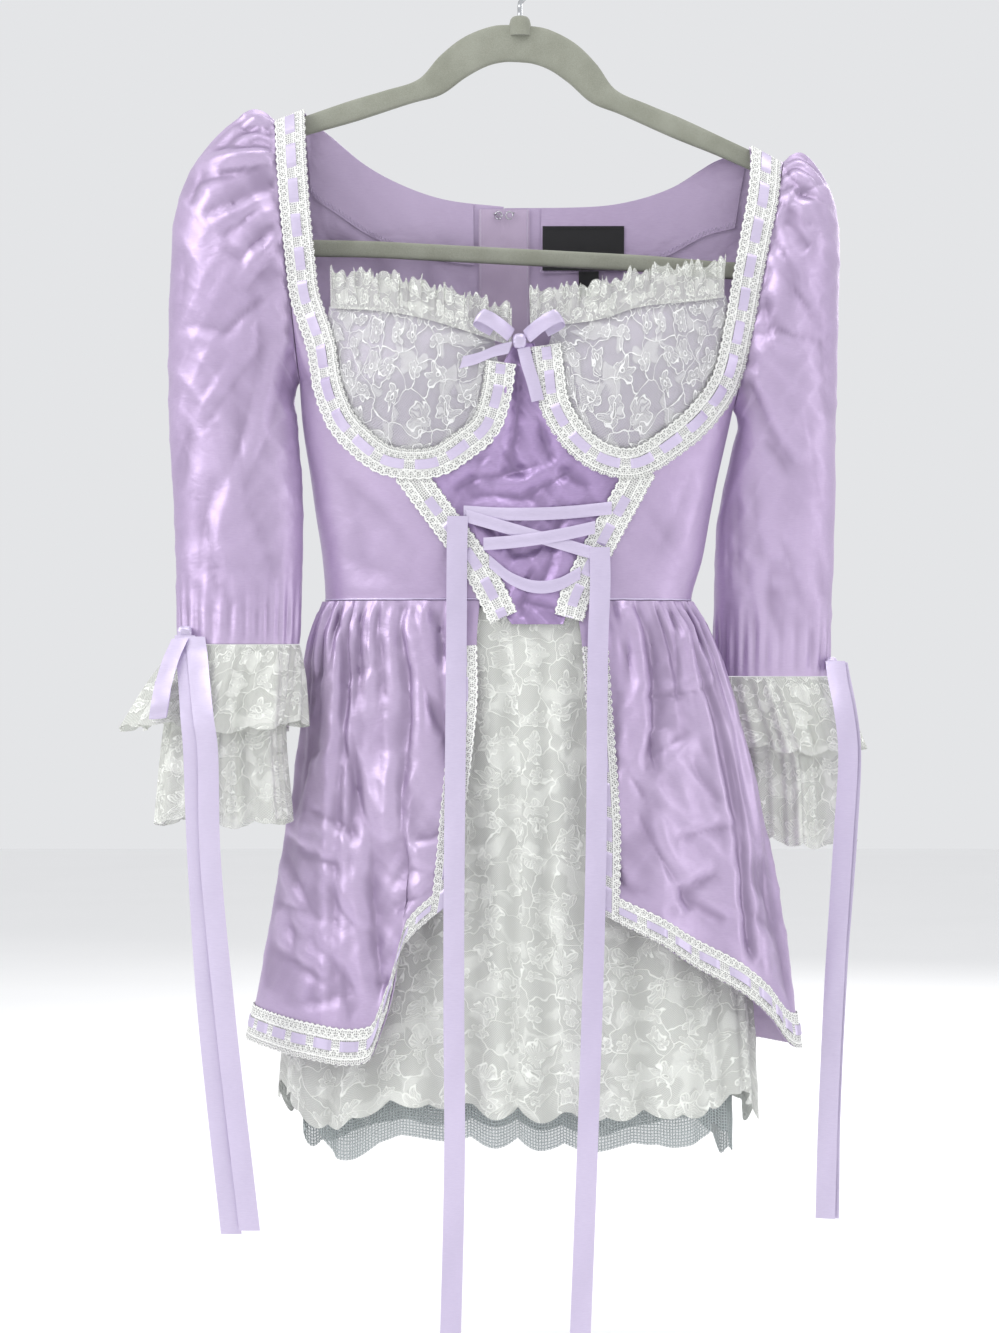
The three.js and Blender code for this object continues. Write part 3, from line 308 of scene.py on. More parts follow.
SLEEVE_CREASES = {
    "left": [
        (-170, -139, -204, -131, 2.2, 5), (-170, -149, -222, -148, 2.6, 6),
        (-170, -161, -232, -174, 3, 6.5), (-170, -172, -225, -197, 2.4, 6),
        (-170, -185, -212, -216, 2.2, 6), (-170, -200, -202, -232, 1.8, 5),
        (-168, -217, -194, -256, 1.5, 5), (-226, -162, -236, -191, 1.6, 7),
        (-245, -278, -198, -286, 1.1, 5), (-170, -249, -215, -289, 1.3, 5),
        (-179, -288, -232, -361, 1.4, 6), (-186, -299, -220, -416, 1.5, 6),
        (-207, -299, -245, -384, 1.3, 7), (-238, -314, -245, -414, 1, 7),
        (-203, -314, -193, -414, 1.2, 6), (-215, -384, -228, -473, 1.5, 6.5),
        (-164, -292, -202, -406, 1.1, 6), (-243, -447, -168, -443, 1, 4),
        (-194, -400, -168, -473, 1, 6), (-230, -400, -209, -502, 1.6, 7),
        (-202, -469, -197, -505, 1.8, 5), (-240, -220, -246, -278, 0.9, 8),
        (-186, -256, -180, -342, 0.9, 6), (-212, -220, -186, -242, 1, 5),
        (-234, -471, -240, -504, 1.6, 5), (-181, -461, -173, -501, 1.3, 5),
        (-222, -443, -204, -485, 1.2, 5),
    ],
    "right": [
        (183, -161, 202, -177, 2.4, 5), (184, -174, 220, -188, 2.6, 6),
        (184, -187, 213, -210, 2.6, 6), (184, -198, 206, -223, 2.2, 6),
        (181, -213, 202, -249, 1.8, 6), (180, -234, 213, -278, 1.5, 6),
        (176, -278, 202, -289, 1.3, 5), (161, -314, 199, -380, 2, 5),
        (173, -357, 194, -387, 1.6, 5), (167, -386, 174, -445, 1.4, 6),
        (155, -378, 158, -473, 1.4, 6), (183, -422, 202, -473, 1.3, 6),
        (180, -443, 188, -502, 2, 6), (202, -472, 217, -517, 1.5, 6),
        (162, -443, 170, -502, 1.3, 6), (216, -256, 222, -342, 0.9, 7),
        (198, -285, 221, -293, 1, 5), (206, -342, 220, -414, 0.9, 7),
        (194, -184, 223, -171, 1.6, 6), (160, -473, 202, -465, 0.8, 4),
        (173, -256, 180, -299, 1.2, 5), (210, -422, 220, -472, 1, 6),
        (150, -400, 154, -501, 1.2, 5),
    ],
}
OVERSKIRT_CREASES = {
    "left": [
        (-131, -478, -128, -567, 2.4, 6), (-128, -564, -104, -643, 2.2, 6),
        (-105, -640, -96, -756, 2.4, 7), (-87, -484, -81, -582, 2.4, 6),
        (-81, -580, -83, -643, 2, 6), (-83, -638, -80, -695, 2.4, 6),
        (-76, -478, -69, -518, 2, 5), (-71, -515, -53, -568, 1.8, 5),
        (-60, -478, -56, -525, 2, 5), (-57, -522, -45, -597, 1.8, 6),
        (-140, -485, -150, -557, 2, 6), (-148, -553, -166, -636, 2, 7),
        (-165, -632, -183, -753, 1.8, 8), (-114, -478, -120, -558, 1.8, 5),
        (-120, -554, -116, -610, 1.6, 6), (-117, -606, -120, -669, 1.6, 6),
        (-156, -620, -112, -642, 1.6, 5), (-173, -640, -125, -661, 1.5, 5),
        (-170, -653, -148, -694, 1.4, 5), (-183, -719, -135, -743, 1.4, 5),
        (-81, -642, -47, -633, 1.3, 4.5), (-78, -660, -56, -668, 1.2, 4.5),
        (-131, -531, -99, -516, 1, 4.5), (-104, -743, -80, -735, 1.3, 4.5),
        (-166, -694, -161, -724, 1.2, 5), (-137, -674, -108, -710, 1.3, 5),
        (-180, -688, -137, -699, 1.2, 5), (-90, -688, -53, -674, 1.2, 5),
        (-158, -587, -137, -574, 1, 4), (-145, -717, -107, -760, 1.2, 6),
        (-176, -760, -122, -749, 1, 5), (-101, -486, -96, -544, 1.8, 5),
        (-47, -486, -42, -544, 1.4, 5), (-124, -717, -115, -782, 1.4, 7),
        (-158, -537, -137, -522, 0.9, 4),
    ],
    "right": [
        (89, -478, 94, -567, 2.4, 6), (93, -564, 97, -592, 2.6, 5),
        (125, -481, 145, -567, 2.2, 6), (145, -564, 159, -662, 2, 6),
        (158, -659, 169, -735, 2, 6), (135, -522, 155, -641, 1.6, 6),
        (154, -639, 165, -738, 1.6, 6), (82, -540, 143, -532, 1.3, 4),
        (93, -585, 120, -566, 1.4, 5), (80, -615, 113, -675, 1.8, 5),
        (112, -672, 120, -692, 1.8, 5), (109, -642, 153, -633, 1.3, 4.5),
        (82, -710, 113, -679, 1.5, 5), (112, -681, 140, -666, 1.5, 5),
        (92, -706, 159, -746, 1.4, 5), (112, -681, 160, -702, 1.3, 5),
        (165, -654, 194, -786, 1.8, 7), (175, -638, 186, -720, 1.5, 6),
        (58, -501, 55, -587, 1.6, 5), (66, -544, 60, -638, 1.5, 6), (63, -616, 72, -692, 1.4, 6),
        (107, -481, 112, -544, 1.8, 5), (101, -544, 86, -602, 1.2, 5),
        (55, -652, 81, -681, 1.2, 5), (71, -587, 94, -630, 1.2, 5),
        (122, -587, 141, -616, 1.1, 5), (155, -688, 184, -710, 1.1, 5),
        (122, -501, 130, -544, 1.5, 5), (76, -481, 79, -537, 1.8, 5),
        (162, -760, 187, -767, 1, 5), (130, -710, 155, -760, 1.2, 5),
    ],
}


def moved_creases(table, across, down, share):
    """The front's folds for the back, each shifted unevenly and pressed a little more or less."""
    rows = []
    for i, (x1, z1, x2, z2, deep, wide) in enumerate(table):
        aside = 6.5 * math.sin(1.7 * i + across)
        lower = -10 * math.cos(2.3 * i + down)
        pressed = deep * share * (0.8 + 0.35 * abs(math.sin(i + down)))
        rows.append((x1 + aside, z1 + lower, x2 + 0.4 * aside, z2 + 0.7 * lower, pressed, wide))
    return rows


SLEEVE_BACK_CREASES = {
    "left": moved_creases(SLEEVE_CREASES["left"], 1, 2, 0.95),
    "right": moved_creases(SLEEVE_CREASES["right"], 2, 1, 0.95),
}
OVERSKIRT_BACK_CREASES = {
    "left": moved_creases(OVERSKIRT_CREASES["left"], 3, 1, 1) + [
        (-36, -479, -33, -616, 2.2, 6), (-33, -544, -42, -760, 2, 7), (-58, -587, -22, -760, 1.8, 7),
        (-14, -481, -17, -587, 2, 5), (-72, -688, -14, -674, 1.2, 5), (-65, -717, -29, -746, 1.2, 5),
    ],
    "right": moved_creases(OVERSKIRT_CREASES["right"], 1, 3, 1) + [
        (7, -479, 10, -616, 2.2, 6), (10, -587, 20, -760, 2, 7), (33, -481, 37, -688, 2, 6),
        (58, -674, 29, -767, 1.8, 7), (0, -652, 58, -666, 1.2, 5), (14, -710, 72, -692, 1.2, 5),
    ],
}


# Curves through points, and grids of points.


def lerp(a, b, t):
    return a + (b - a) * t


def ramp(value, reach):
    """Rises evenly from 0 to 1 while the value goes from 0 to its reach."""
    return np.clip(value / reach, 0, 1)


def curve(xs, ys):
    """A smooth curve through points, level beyond its ends."""
    order = np.argsort(xs)
    x, y = np.array(xs, float)[order], np.array(ys, float)[order]
    last = len(x) - 1
    before = np.maximum(np.arange(last + 1) - 1, 0)
    after = np.minimum(np.arange(last + 1) + 1, last)
    slopes = (y[after] - y[before]) / (x[after] - x[before])

    def at(value):
        v = np.clip(value, x[0], x[-1])
        i = np.clip(np.searchsorted(x, v, side="right") - 1, 0, last - 1)
        step = x[i + 1] - x[i]
        t = (v - x[i]) / step
        level = y[i] * (1 + 2 * t) * (1 - t) ** 2 + y[i + 1] * t * t * (3 - 2 * t)
        return level + step * (slopes[i] * t * (1 - t) ** 2 - slopes[i + 1] * t * t * (1 - t))

    return at


class Line:
    """A smooth line through points, by its share of length."""

    def __init__(self, points, steps=40):
        p = np.array(points, float)
        p = np.vstack([2 * p[0] - p[1], p, 2 * p[-1] - p[-2]])
        spots = []
        for i in range(1, len(p) - 2):
            p0, p1, p2, p3 = p[i - 1 : i + 3]
            d0, d1, d2 = (max(np.linalg.norm(b - a), 1e-6) ** 0.5
                          for a, b in ((p0, p1), (p1, p2), (p2, p3)))
            m1 = ((p1 - p0) / d0 - (p2 - p0) / (d0 + d1) + (p2 - p1) / d1) * d1
            m2 = ((p2 - p1) / d1 - (p3 - p1) / (d1 + d2) + (p3 - p2) / d2) * d1
            t = np.linspace(0, 1, steps, endpoint=False)[:, None]
            spots.append(p1 + m1 * t + (3 * p2 - 3 * p1 - 2 * m1 - m2) * t * t
                         + (2 * p1 - 2 * p2 + m1 + m2) * t ** 3)
        self.spots = np.vstack(spots + [p[-2][None]])
        lengths = np.linalg.norm(np.diff(self.spots, axis=0), axis=1)
        self.share = np.concatenate([[0], np.cumsum(lengths)])
        self.length = self.share[-1]
        self.share /= self.length

    def at(self, u):
        u = np.asarray(u, float)
        inside = np.clip(u, 0, 1)
        axes = range(self.spots.shape[1])
        spot = np.stack([np.interp(inside, self.share, self.spots[:, k]) for k in axes], -1)
        return spot + (u - inside)[..., None] * self.tangent(u) * self.length

    def tangent(self, u):
        u = np.clip(np.asarray(u, float), 0.004, 0.996)
        axes = range(self.spots.shape[1])
        ahead, behind = (np.stack([np.interp(u + d, self.share, self.spots[:, k]) for k in axes], -1)
                         for d in (0.004, -0.004))
        way = ahead - behind
        return way / np.linalg.norm(way, axis=-1, keepdims=True)


def flat_line(rows):
    return Line(np.stack([rows["x"], rows["z"]], -1))


def mesh_normals(points, outward, closed=False):
    """Unit normals of a grid of points, facing the way that outward gives."""
    if closed:
        before, after = np.roll(points, 1, axis=1), np.roll(points, -1, axis=1)
    else:
        before = np.concatenate([points[:, :1], points[:, :-1]], axis=1)
        after = np.concatenate([points[:, 1:], points[:, -1:]], axis=1)
    above = np.concatenate([points[:1], points[:-1]])
    below = np.concatenate([points[1:], points[-1:]])
    normals = np.cross(after - before, below - above)
    normals /= np.maximum(np.linalg.norm(normals, axis=-1, keepdims=True), 1e-9)
    if np.sum(normals * outward) < 0:
        normals = -normals
    return normals


TO_FRONT = np.array([0.0, -1.0, 0.0])
TO_BACK = np.array([0.0, 1.0, 0.0])


# The form of the bodice, which every piece on it follows.

body_centre = curve(BODY["z"], BODY["centre"])
body_front = curve(BODY["z"], BODY["front"])
body_back = curve(BODY["z"], BODY["back"])
body_edge = {side: curve(BODY["z"], BODY[side]) for side in SIDES}


def outer_x(side, z):
    s = SIDES[side]
    slanted = lerp(s["topX"], s["underX"], (s["topZ"] - z) / (s["topZ"] - s["underZ"]))
    return np.where(z > s["underZ"], slanted, body_edge[side](z))


def armhole_depth(side, z):
    s = SIDES[side]
    across = (2 * z - s["topZ"] - s["underZ"]) / (s["topZ"] - s["underZ"])
    return ARMHOLE_DEPTH * np.sqrt(np.maximum(0, 1 - across * across))


def shoulder_rise(side, x, z):
    s = SIDES[side]
    inward = np.maximum(0, (s["topX"] - x) * s["sign"])
    fade = np.clip(1 - (s["topZ"] - z) / SHOULDER_FADE, 0, 1)
    return s["slope"] * np.minimum(inward, 24) * fade


def section_z(side, x, z):
    section = z
    for _ in range(6):
        section = z - shoulder_rise(side, x, section)
    return np.minimum(section, SIDES[side]["topZ"])


def body_depth(side, x, section, centre_depth):
    edge = armhole_depth(side, section)
    capped = ramp(SIDES[side]["topZ"] - section, 30)
    middle = np.maximum(edge, centre_depth(section) * np.sqrt(1 - (1 - capped) ** 2))
    centre = body_centre(section)
    reach = np.clip((x - centre) / (outer_x(side, section) - centre), 0, 1)
    power = lerp(1 / ROUNDNESS, 1, edge / ARMHOLE_DEPTH)
    return SIDE_SEAM / 2 + edge + (middle - edge) * np.power(1 - reach ** ROUNDNESS, power)


def cup_bump(x, z):
    bump = 0
    for s in SIDES.values():
        away = ((x - s["cupX"]) / CUP_SPREAD[0]) ** 2 + ((z - s["cupZ"]) / CUP_SPREAD[1]) ** 2
        bump = bump + CUP_DEPTH * np.exp(-away)
    return bump


def front_side_point(side, x, z):
    section = section_z(side, x, z)
    fade = ramp((outer_x(side, section) - x) * SIDES[side]["sign"], 30)
    depth = body_depth(side, x, section, body_front) + fade * cup_bump(x, z)
    return np.stack([x, -depth, z], -1)


def front_point(x, z):
    x, z = np.broadcast_arrays(np.asarray(x, float), np.asarray(z, float))
    left = (x < body_centre(z))[..., None]
    return np.where(left, front_side_point("left", x, z), front_side_point("right", x, z))


def back_point(side, x, z):
    x, z = np.broadcast_arrays(np.asarray(x, float), np.asarray(z, float))
    depth = body_depth(side, x, section_z(side, x, z), body_back)
    return np.stack([x, depth, z], -1)


def ahead_of_front(x, z, lift):
    """A point in front of the bodice, lift clear of it."""
    step = 1.5
    across = front_point(x + step, z) - front_point(x - step, z)
    down = front_point(x, z - step) - front_point(x, z + step)
    normal = np.cross(across, down)
    normal /= np.linalg.norm(normal)
    if normal[1] > 0:
        normal = -normal
    return front_point(x, z) + normal * lift


# Folds and creases pressed into the cloth.


def pressed_folds(points, normals, table, facing=-1, crisp=0.0):
    """Height along the normals that a table of pressed-in folds leaves on one face."""
    x, z = points[..., 0], points[..., 2]
    weight = np.clip(facing * normals[..., 1] * 1.8, 0, 1)
    height = np.zeros(x.shape)
    for index, (x1, z1, x2, z2, deep, wide) in enumerate(table):
        dx, dz = x2 - x1, z2 - z1
        length = math.hypot(dx, dz)
        t = ((x - x1) * dx + (z - z1) * dz) / length ** 2
        fade = np.clip(4 * t * (1 - t), 0, 1) ** 0.6
        bow = 0.05 * length * math.sin(2.4 * index + 1) * np.clip(4 * t * (1 - t), 0, 1)
        away = ((x - x1) * dz - (z - z1) * dx) / length + bow
        if index % 2:
            away = -away
        power = 1.5 - 0.45 * crisp
        trough = -np.exp(-np.abs(away / (0.8 * wide)) ** power)
        ridge = 0.7 * np.exp(-np.abs((away - 1.6 * wide) / (1.1 * wide)) ** 1.5)
        height += FOLD_GAIN * deep * fade * (trough + ridge)
    return height * weight


def crumple(points, size, height, turn=0.0):
    """Faint uneven creasing, the same each time."""
    x, y, z = (points[..., k] / size for k in range(3))
    a = np.sin(2.1 * x + 1.3 * z + 1.7 * np.sin(1.1 * z + 0.7 * x + turn) + turn)
    b = np.sin(1.9 * z - 2.2 * x + 1.5 * y + 1.4 * np.sin(1.7 * x - 0.6 * z + 2 * turn))
    c = np.sin(3.7 * x + 2.9 * z + 1.2 * y + 2.1 * np.sin(0.9 * z + 1.3 * turn))
    ridges = (1 - np.abs(a)) ** 2 + 0.7 * (1 - np.abs(b)) ** 2 + 0.4 * (1 - np.abs(c)) ** 3
    return height * (ridges - 0.8)


# Finishes.


def colour(red, green, blue):
    """A screen colour, 0 to 255, as a light value."""
    def one(v):
        v /= 255
        return v / 12.92 if v <= 0.04045 else ((v + 0.055) / 1.055) ** 2.4
    return (one(red), one(green), one(blue), 1.0)


def darker(tint, share):
    return tuple(share * c for c in tint[:3]) + (1,)


class Recipe:
    """A material's nodes, written as short lines."""

    def __init__(self, name):
        self.material = bpy.data.materials.new(name)
        self.material.use_nodes = True
        self.tree = self.material.node_tree
        self.tree.nodes.clear()
        out = self.tree.nodes.new("ShaderNodeOutputMaterial")
        self.shader = self.tree.nodes.new("ShaderNodeBsdfPrincipled")
        self.tree.links.new(self.shader.outputs[0], out.inputs[0])

    def set(self, **values):
        for key, value in values.items():
            self.feed(self.shader.inputs[key.replace("_", " ")], value)

    def feed(self, socket, value):
        if isinstance(value, bpy.types.NodeSocket):
            self.tree.links.new(value, socket)
        else:
            socket.default_value = value

    def node(self, kind, inputs=(), **settings):
        made = self.tree.nodes.new(kind)
        for key, value in settings.items():
            setattr(made, key, value)
        for key, value in dict(inputs).items():
            self.feed(made.inputs[key], value)
        return made

    def math(self, operation, a, b=0.0, c=0.0):
        made = self.node("ShaderNodeMath", {0: a, 1: b, 2: c}, operation=operation)
        return made.outputs[0]

    def vector(self, operation, a, b):
        made = self.node("ShaderNodeVectorMath", {0: a, 1: b}, operation=operation)
        return made.outputs[0]

    def split(self, vector):
        return self.node("ShaderNodeSeparateXYZ", {0: vector}).outputs

    def fold_shade_mark(self):
        """How high or deep the cloth's own folds are, kept on each point of a piece; the finishes use it to
        paint shade into fold troughs.
        """
        return self.node("ShaderNodeAttribute", attribute_name="fold").outputs["Fac"]

    def smooth(self, value, low, high, start=0.0, end=1.0):
        made = self.node("ShaderNodeMapRange", {0: value, 1: low, 2: high, 3: start, 4: end},
                         interpolation_type="SMOOTHSTEP", clamp=True)
        return made.outputs[0]

    def mix(self, share, a, b):
        made = self.node("ShaderNodeMix", {0: share, 6: a, 7: b}, data_type="RGBA")
        return made.outputs[2]

    def most(self, *values):
        found = values[0]
        for value in values[1:]:
            found = self.math("MAXIMUM", found, value)
        return found

    def place(self, source, scale=(1, 1, 1), turn=0.0):
        coords = self.node("ShaderNodeTexCoord").outputs[source]
        made = self.node("ShaderNodeMapping", {0: coords, 2: (0, 0, turn), 3: scale})
        return made.outputs[0]

    def noise(self, vector, scale, detail=2.0, distortion=0.0):
        made = self.node("ShaderNodeTexNoise",
                         {"Vector": vector, "Scale": scale, "Detail": detail,
                          "Distortion": distortion})
        return made.outputs[0]

    def cells(self, vector, scale, randomness, feature="F1"):
        return self.node("ShaderNodeTexVoronoi",
                         {"Vector": vector, "Scale": scale, "Randomness": randomness},
                         feature=feature, voronoi_dimensions="2D")

    def bump(self, height, strength, distance, under=None):
        inputs = {"Strength": strength, "Distance": distance, "Height": height}
        if under is not None:
            inputs["Normal"] = under
        return self.node("ShaderNodeBump", inputs).outputs[0]


def satin(name, dark, light, creasing=0.3):
    """Shiny cloth: fine threads across it, faint ripples, and painted shade where a fold dips."""
    r = Recipe(name)
    spot = r.place("Object")
    broad = r.noise(spot, 5, 2)
    fine = r.noise(spot, 90, 3, 0.8)
    ripple = r.noise(r.place("Object", (26, 26, 38), 0.4), 1, 3, 0.8)
    slub = r.noise(r.place("Object", (240, 240, 2200)), 1, 2)
    tone = r.math("ADD", r.math("MULTIPLY", broad, 0.6), r.math("MULTIPLY", slub, 0.4))
    face = r.mix(r.smooth(tone, 0.25, 0.75), dark, light)
    # Painted shade: the colour darkens to 70% of the dark lilac in the troughs of the cloth's folds.
    r.set(Base_Color=r.mix(r.smooth(r.fold_shade_mark(), -0.9, 0.1), darker(dark, 0.70), face),
          Roughness=r.smooth(fine, 0.3, 0.7, SATIN_ROUGHNESS - 0.04, SATIN_ROUGHNESS + 0.06))
    r.set(Metallic=0.5, Sheen_Weight=0.12, Sheen_Roughness=0.4, Anisotropic=0.3,
          Specular_IOR_Level=0.4)
    r.shader.inputs["Sheen Tint"].default_value = light
    soft = r.bump(fine, 0.3 * creasing, 0.0010, r.bump(ripple, creasing, 0.0030))
    r.set(Normal=r.bump(slub, 0.08, 0.0002, soft))
    return r.material


def lace(name, thread, motif_size=0.02, base=0.0, fill=0.45, net=1.6, bold=1.0, ground_tone=0.92):
    """Diamond net ground with petalled flowers, wandering vines and filled leaves, and painted shade in the
    troughs of its folds.
    """
    r = Recipe(name)
    spot = r.place("UV")
    across, along, _ = r.split(spot)
    lean = math.pi * 1000 / net
    one = r.math("MULTIPLY", r.math("ADD", across, along), lean)
    two = r.math("MULTIPLY", r.math("SUBTRACT", across, along), lean)
    ground = r.math("MINIMUM", r.math("ABSOLUTE", r.math("SINE", one)),
                    r.math("ABSOLUTE", r.math("SINE", two)))
    threads = r.smooth(ground, 0.15, 0.40, 0.6, 0)

    waver = r.node("ShaderNodeTexNoise",
                   {"Vector": spot, "Scale": 1.1 / motif_size, "Detail": 2.0})
    reach = 1.1 * motif_size
    drawn = r.vector("ADD", spot, r.vector("MULTIPLY", waver.outputs["Color"], (reach, reach, 0.0)))

    flowers = r.cells(drawn, 1 / motif_size, 0.45)
    across, along, _ = r.split(r.vector("SUBTRACT", drawn, flowers.outputs["Position"]))
    radius = r.math("SQRT", r.math("ADD", r.math("POWER", across, 2.0), r.math("POWER", along, 2.0)))
    angle = r.math("ARCTAN2", along, across)
    chance = r.split(flowers.outputs["Color"])
    phase = r.math("MULTIPLY", chance[0], 6.28)
    lobes = r.math("ABSOLUTE", r.math("COSINE", r.math("MULTIPLY_ADD", angle, 2.5, phase)))
    size = r.math("MULTIPLY_ADD", chance[1], 0.18 * motif_size, 0.24 * motif_size)
    petal = r.math("MULTIPLY", size, r.math("MULTIPLY_ADD", lobes, 0.5, 0.6))
    depth = r.math("SUBTRACT", petal, radius)
    inside = r.smooth(depth, 0.0, 0.0004)
    outline = r.smooth(r.math("ABSOLUTE", depth), 0.0002, 0.0007 * bold, 1, 0)
    ring = r.smooth(r.math("ABSOLUTE", r.math("SUBTRACT", radius, 0.0014)), 0.0002, 0.0006, 1, 0)
    rays = r.math("MULTIPLY", inside,
                  r.smooth(r.math("SINE", r.math("MULTIPLY", angle, 22.0)), -0.4, 0.6, 0.2, fill))
    cord = r.cells(drawn, 1.1 / motif_size, 0.85, "DISTANCE_TO_EDGE").outputs["Distance"]
    vines = r.smooth(cord, 0.010 * bold, 0.028 * bold, 0.9, 0)
    growth = r.noise(drawn, 1.3 / motif_size, 0.5, 0.4)
    grain = r.noise(spot, 1900, 1)
    leaf = r.math("MULTIPLY", r.smooth(growth, 0.53, 0.62, 0, fill),
                  r.smooth(grain, 0.35, 0.6, 0.6, 1))
    cover = r.most(threads, vines, outline, ring, rays, leaf)
    alpha = r.smooth(cover, 0.0, 1.0, base, 1.0)
    shade = r.mix(cover, darker(thread, ground_tone), thread)
    # Painted shade: the thread colour darkens to 72% in the troughs of the cloth's folds.
    r.set(Base_Color=r.mix(r.smooth(r.fold_shade_mark(), -0.7, 0.05), darker(thread, 0.72), shade),
          Alpha=alpha)
    r.set(Roughness=0.75, Sheen_Weight=0.12)
    r.set(Normal=r.bump(cover, 0.8, 0.0007))
    return r.material


def edging(name, thread):
    """Narrow gathered lace: rows of eyelets between corded lines along its edges."""
    r = Recipe(name)
    spot = r.place("UV")
    along, across, _ = r.split(spot)
    lines = []
    turn = r.math("SINE", r.math("MULTIPLY", along, 6.2832 / EDGING_PITCH))
    for row, reach in ((0.0022, 0.0016), (0.0058, -0.0011), (0.0188, -0.0016), (0.0152, 0.0011)):
        wave = r.math("ADD", r.math("MULTIPLY", turn, reach), row)
        gap = r.math("ABSOLUTE", r.math("SUBTRACT", across, wave))
        lines.append(r.smooth(gap, 0.0003, 0.0010, 1, 0))
    for row in (0.0008, 0.0072, 0.0138, 0.0202):
        gap = r.math("ABSOLUTE", r.math("SUBTRACT", across, row))
        lines.append(r.smooth(gap, 0.0003, 0.0008, 1, 0))
    loops = r.cells(spot, 620, 0.5, "DISTANCE_TO_EDGE").outputs["Distance"]
    loops = r.smooth(loops, 0.12, 0.24, 0.9, 0)
    cover = r.most(loops, *lines)
    shade = r.mix(cover, darker(thread, 0.86), thread)
    r.set(Base_Color=shade, Alpha=r.smooth(cover, 0, 1, EDGING_GROUND, 1), Roughness=0.75,
          Sheen_Weight=0.15)
    r.set(Normal=r.bump(cover, 0.8, 0.0008))
    return r.material


def net(name):
    """Stiff open net with six-sided holes."""
    r = Recipe(name)
    spot = r.place("UV")
    edge = r.cells(spot, 1000 / 2.2, 0.1, "DISTANCE_TO_EDGE").outputs["Distance"]
    threads = r.smooth(edge, 0.10, 0.2, 1, 0.3)
    r.set(Base_Color=r.mix(threads, colour(112, 122, 124), colour(176, 184, 184)),
          Alpha=threads, Roughness=0.55, Normal=r.bump(threads, 0.4, 0.0004))
    return r.material


def woven(name, dark, light, fineness, roughness=0.7, sheen=0.2):
    """Plain cloth from two crossing sets of threads."""
    r = Recipe(name)
    spot = r.place("UV", (fineness, fineness, 1))
    warp, weft = (r.node("ShaderNodeTexWave", {"Vector": spot, "Scale": 1.0, "Distortion": 0.6},
                         wave_type="BANDS", bands_direction=way).outputs[1] for way in "XY")
    weave = r.math("MULTIPLY", r.math("ADD", warp, weft), 0.5)
    tone = r.noise(r.place("Object"), 40, 3)
    share = r.math("ADD", r.math("MULTIPLY", weave, 0.5), r.math("MULTIPLY", tone, 0.5))
    r.set(Base_Color=r.mix(r.smooth(share, 0.3, 0.7), dark, light),
          Roughness=r.smooth(weave, 0, 1, roughness - 0.08, roughness + 0.06),
          Normal=r.bump(weave, 0.5, 0.0003))
    r.set(Sheen_Weight=sheen)
    return r.material


def flock(name):
    """Short velvety pile over the hanger, a little worn in patches."""
    r = Recipe(name)
    spot = r.place("Object")
    pile = r.noise(spot, 2600, 3)
    patches = r.noise(spot, 45, 3)
    share = r.math("ADD", r.math("MULTIPLY", pile, 0.6), r.math("MULTIPLY", patches, 0.4))
    r.set(Base_Color=r.mix(r.smooth(share, 0.3, 0.7), colour(132, 134, 121), colour(156, 158, 146)),
          Roughness=r.smooth(pile, 0, 1, 0.85, 0.95), Normal=r.bump(pile, 0.4, 0.0003))
    r.set(Sheen_Weight=0.2, Sheen_Roughness=0.5)
    return r.material


def plated(name, tint):
    """Bright plated steel with a faint brushed grain."""
    r = Recipe(name)
    brushed = r.noise(r.place("Object", (1500, 1500, 200)), 1, 3)
    r.set(Base_Color=r.mix(brushed, darker(tint, 0.85), tint),
          Roughness=r.smooth(brushed, 0.3, 0.7, 0.2, 0.34),
          Normal=r.bump(brushed, 0.1, 0.00005))
    r.set(Metallic=1.0)
    return r.material


LILAC_LIGHT = colour(200, 183, 212)
LILAC_DARK = colour(186, 166, 200)
OFF_WHITE = colour(247, 249, 243)

FINISHES = {
    "satin": satin("lilac_satin", LILAC_DARK, LILAC_LIGHT),
    "panel": satin("lilac_satin_wrinkled", colour(168, 144, 188), colour(188, 166, 206), 0.45),
    "cup": satin("lilac_cup_satin", colour(186, 172, 200), colour(200, 188, 212), 0.2),
    "ribbon": satin("lilac_ribbon", colour(204, 193, 220), colour(217, 207, 231), 0.12),
    "lace": lace("floral_lace", OFF_WHITE, 0.021, 0.80, 0.6, 1.6, 1.3, 0.82),
    "cuff": lace("cuff_floral_lace", OFF_WHITE, 0.019, 0.45, 0.6, 1.8),
    "cup_lace": lace("cup_floral_lace", colour(240, 240, 240), 0.019, 0.16, 0.5, 1.6),
    "frill": lace("frill_lace", OFF_WHITE, 0.013, 0.35, 0.5, 1.5),
    "edging": edging("narrow_lace", colour(243, 244, 240)),
    "lining": woven("white_lining", colour(226, 227, 228), colour(250, 250, 251), 5200, 0.6, 0.1),
    "net": net("stiff_net"),
    "velvet": flock("flocked_hanger"),
    "steel": plated("plated_steel", colour(205, 207, 210)),
    "guard": woven("zip_tape", colour(190, 170, 200), colour(216, 198, 224), 3600, 0.6, 0.2),
    "label": woven("black_label", colour(14, 14, 16), colour(34, 34, 38), 4200, 0.65, 0.1),
    "stitch": woven("stitching", colour(214, 200, 230), colour(240, 234, 246), 9000, 0.7, 0.1),
}


# How a piece is made.


def only(piece):
    """Selects one piece and nothing else."""
    bpy.ops.object.select_all(action="DESELECT")
    piece.select_set(True)
    bpy.context.view_layer.objects.active = piece


def rows_of(parts, name):
    """The places or directions of a mesh's points or faces, one row each."""
    found = np.empty(len(parts) * 3)
    parts.foreach_get(name, found)
    return found.reshape(-1, 3)


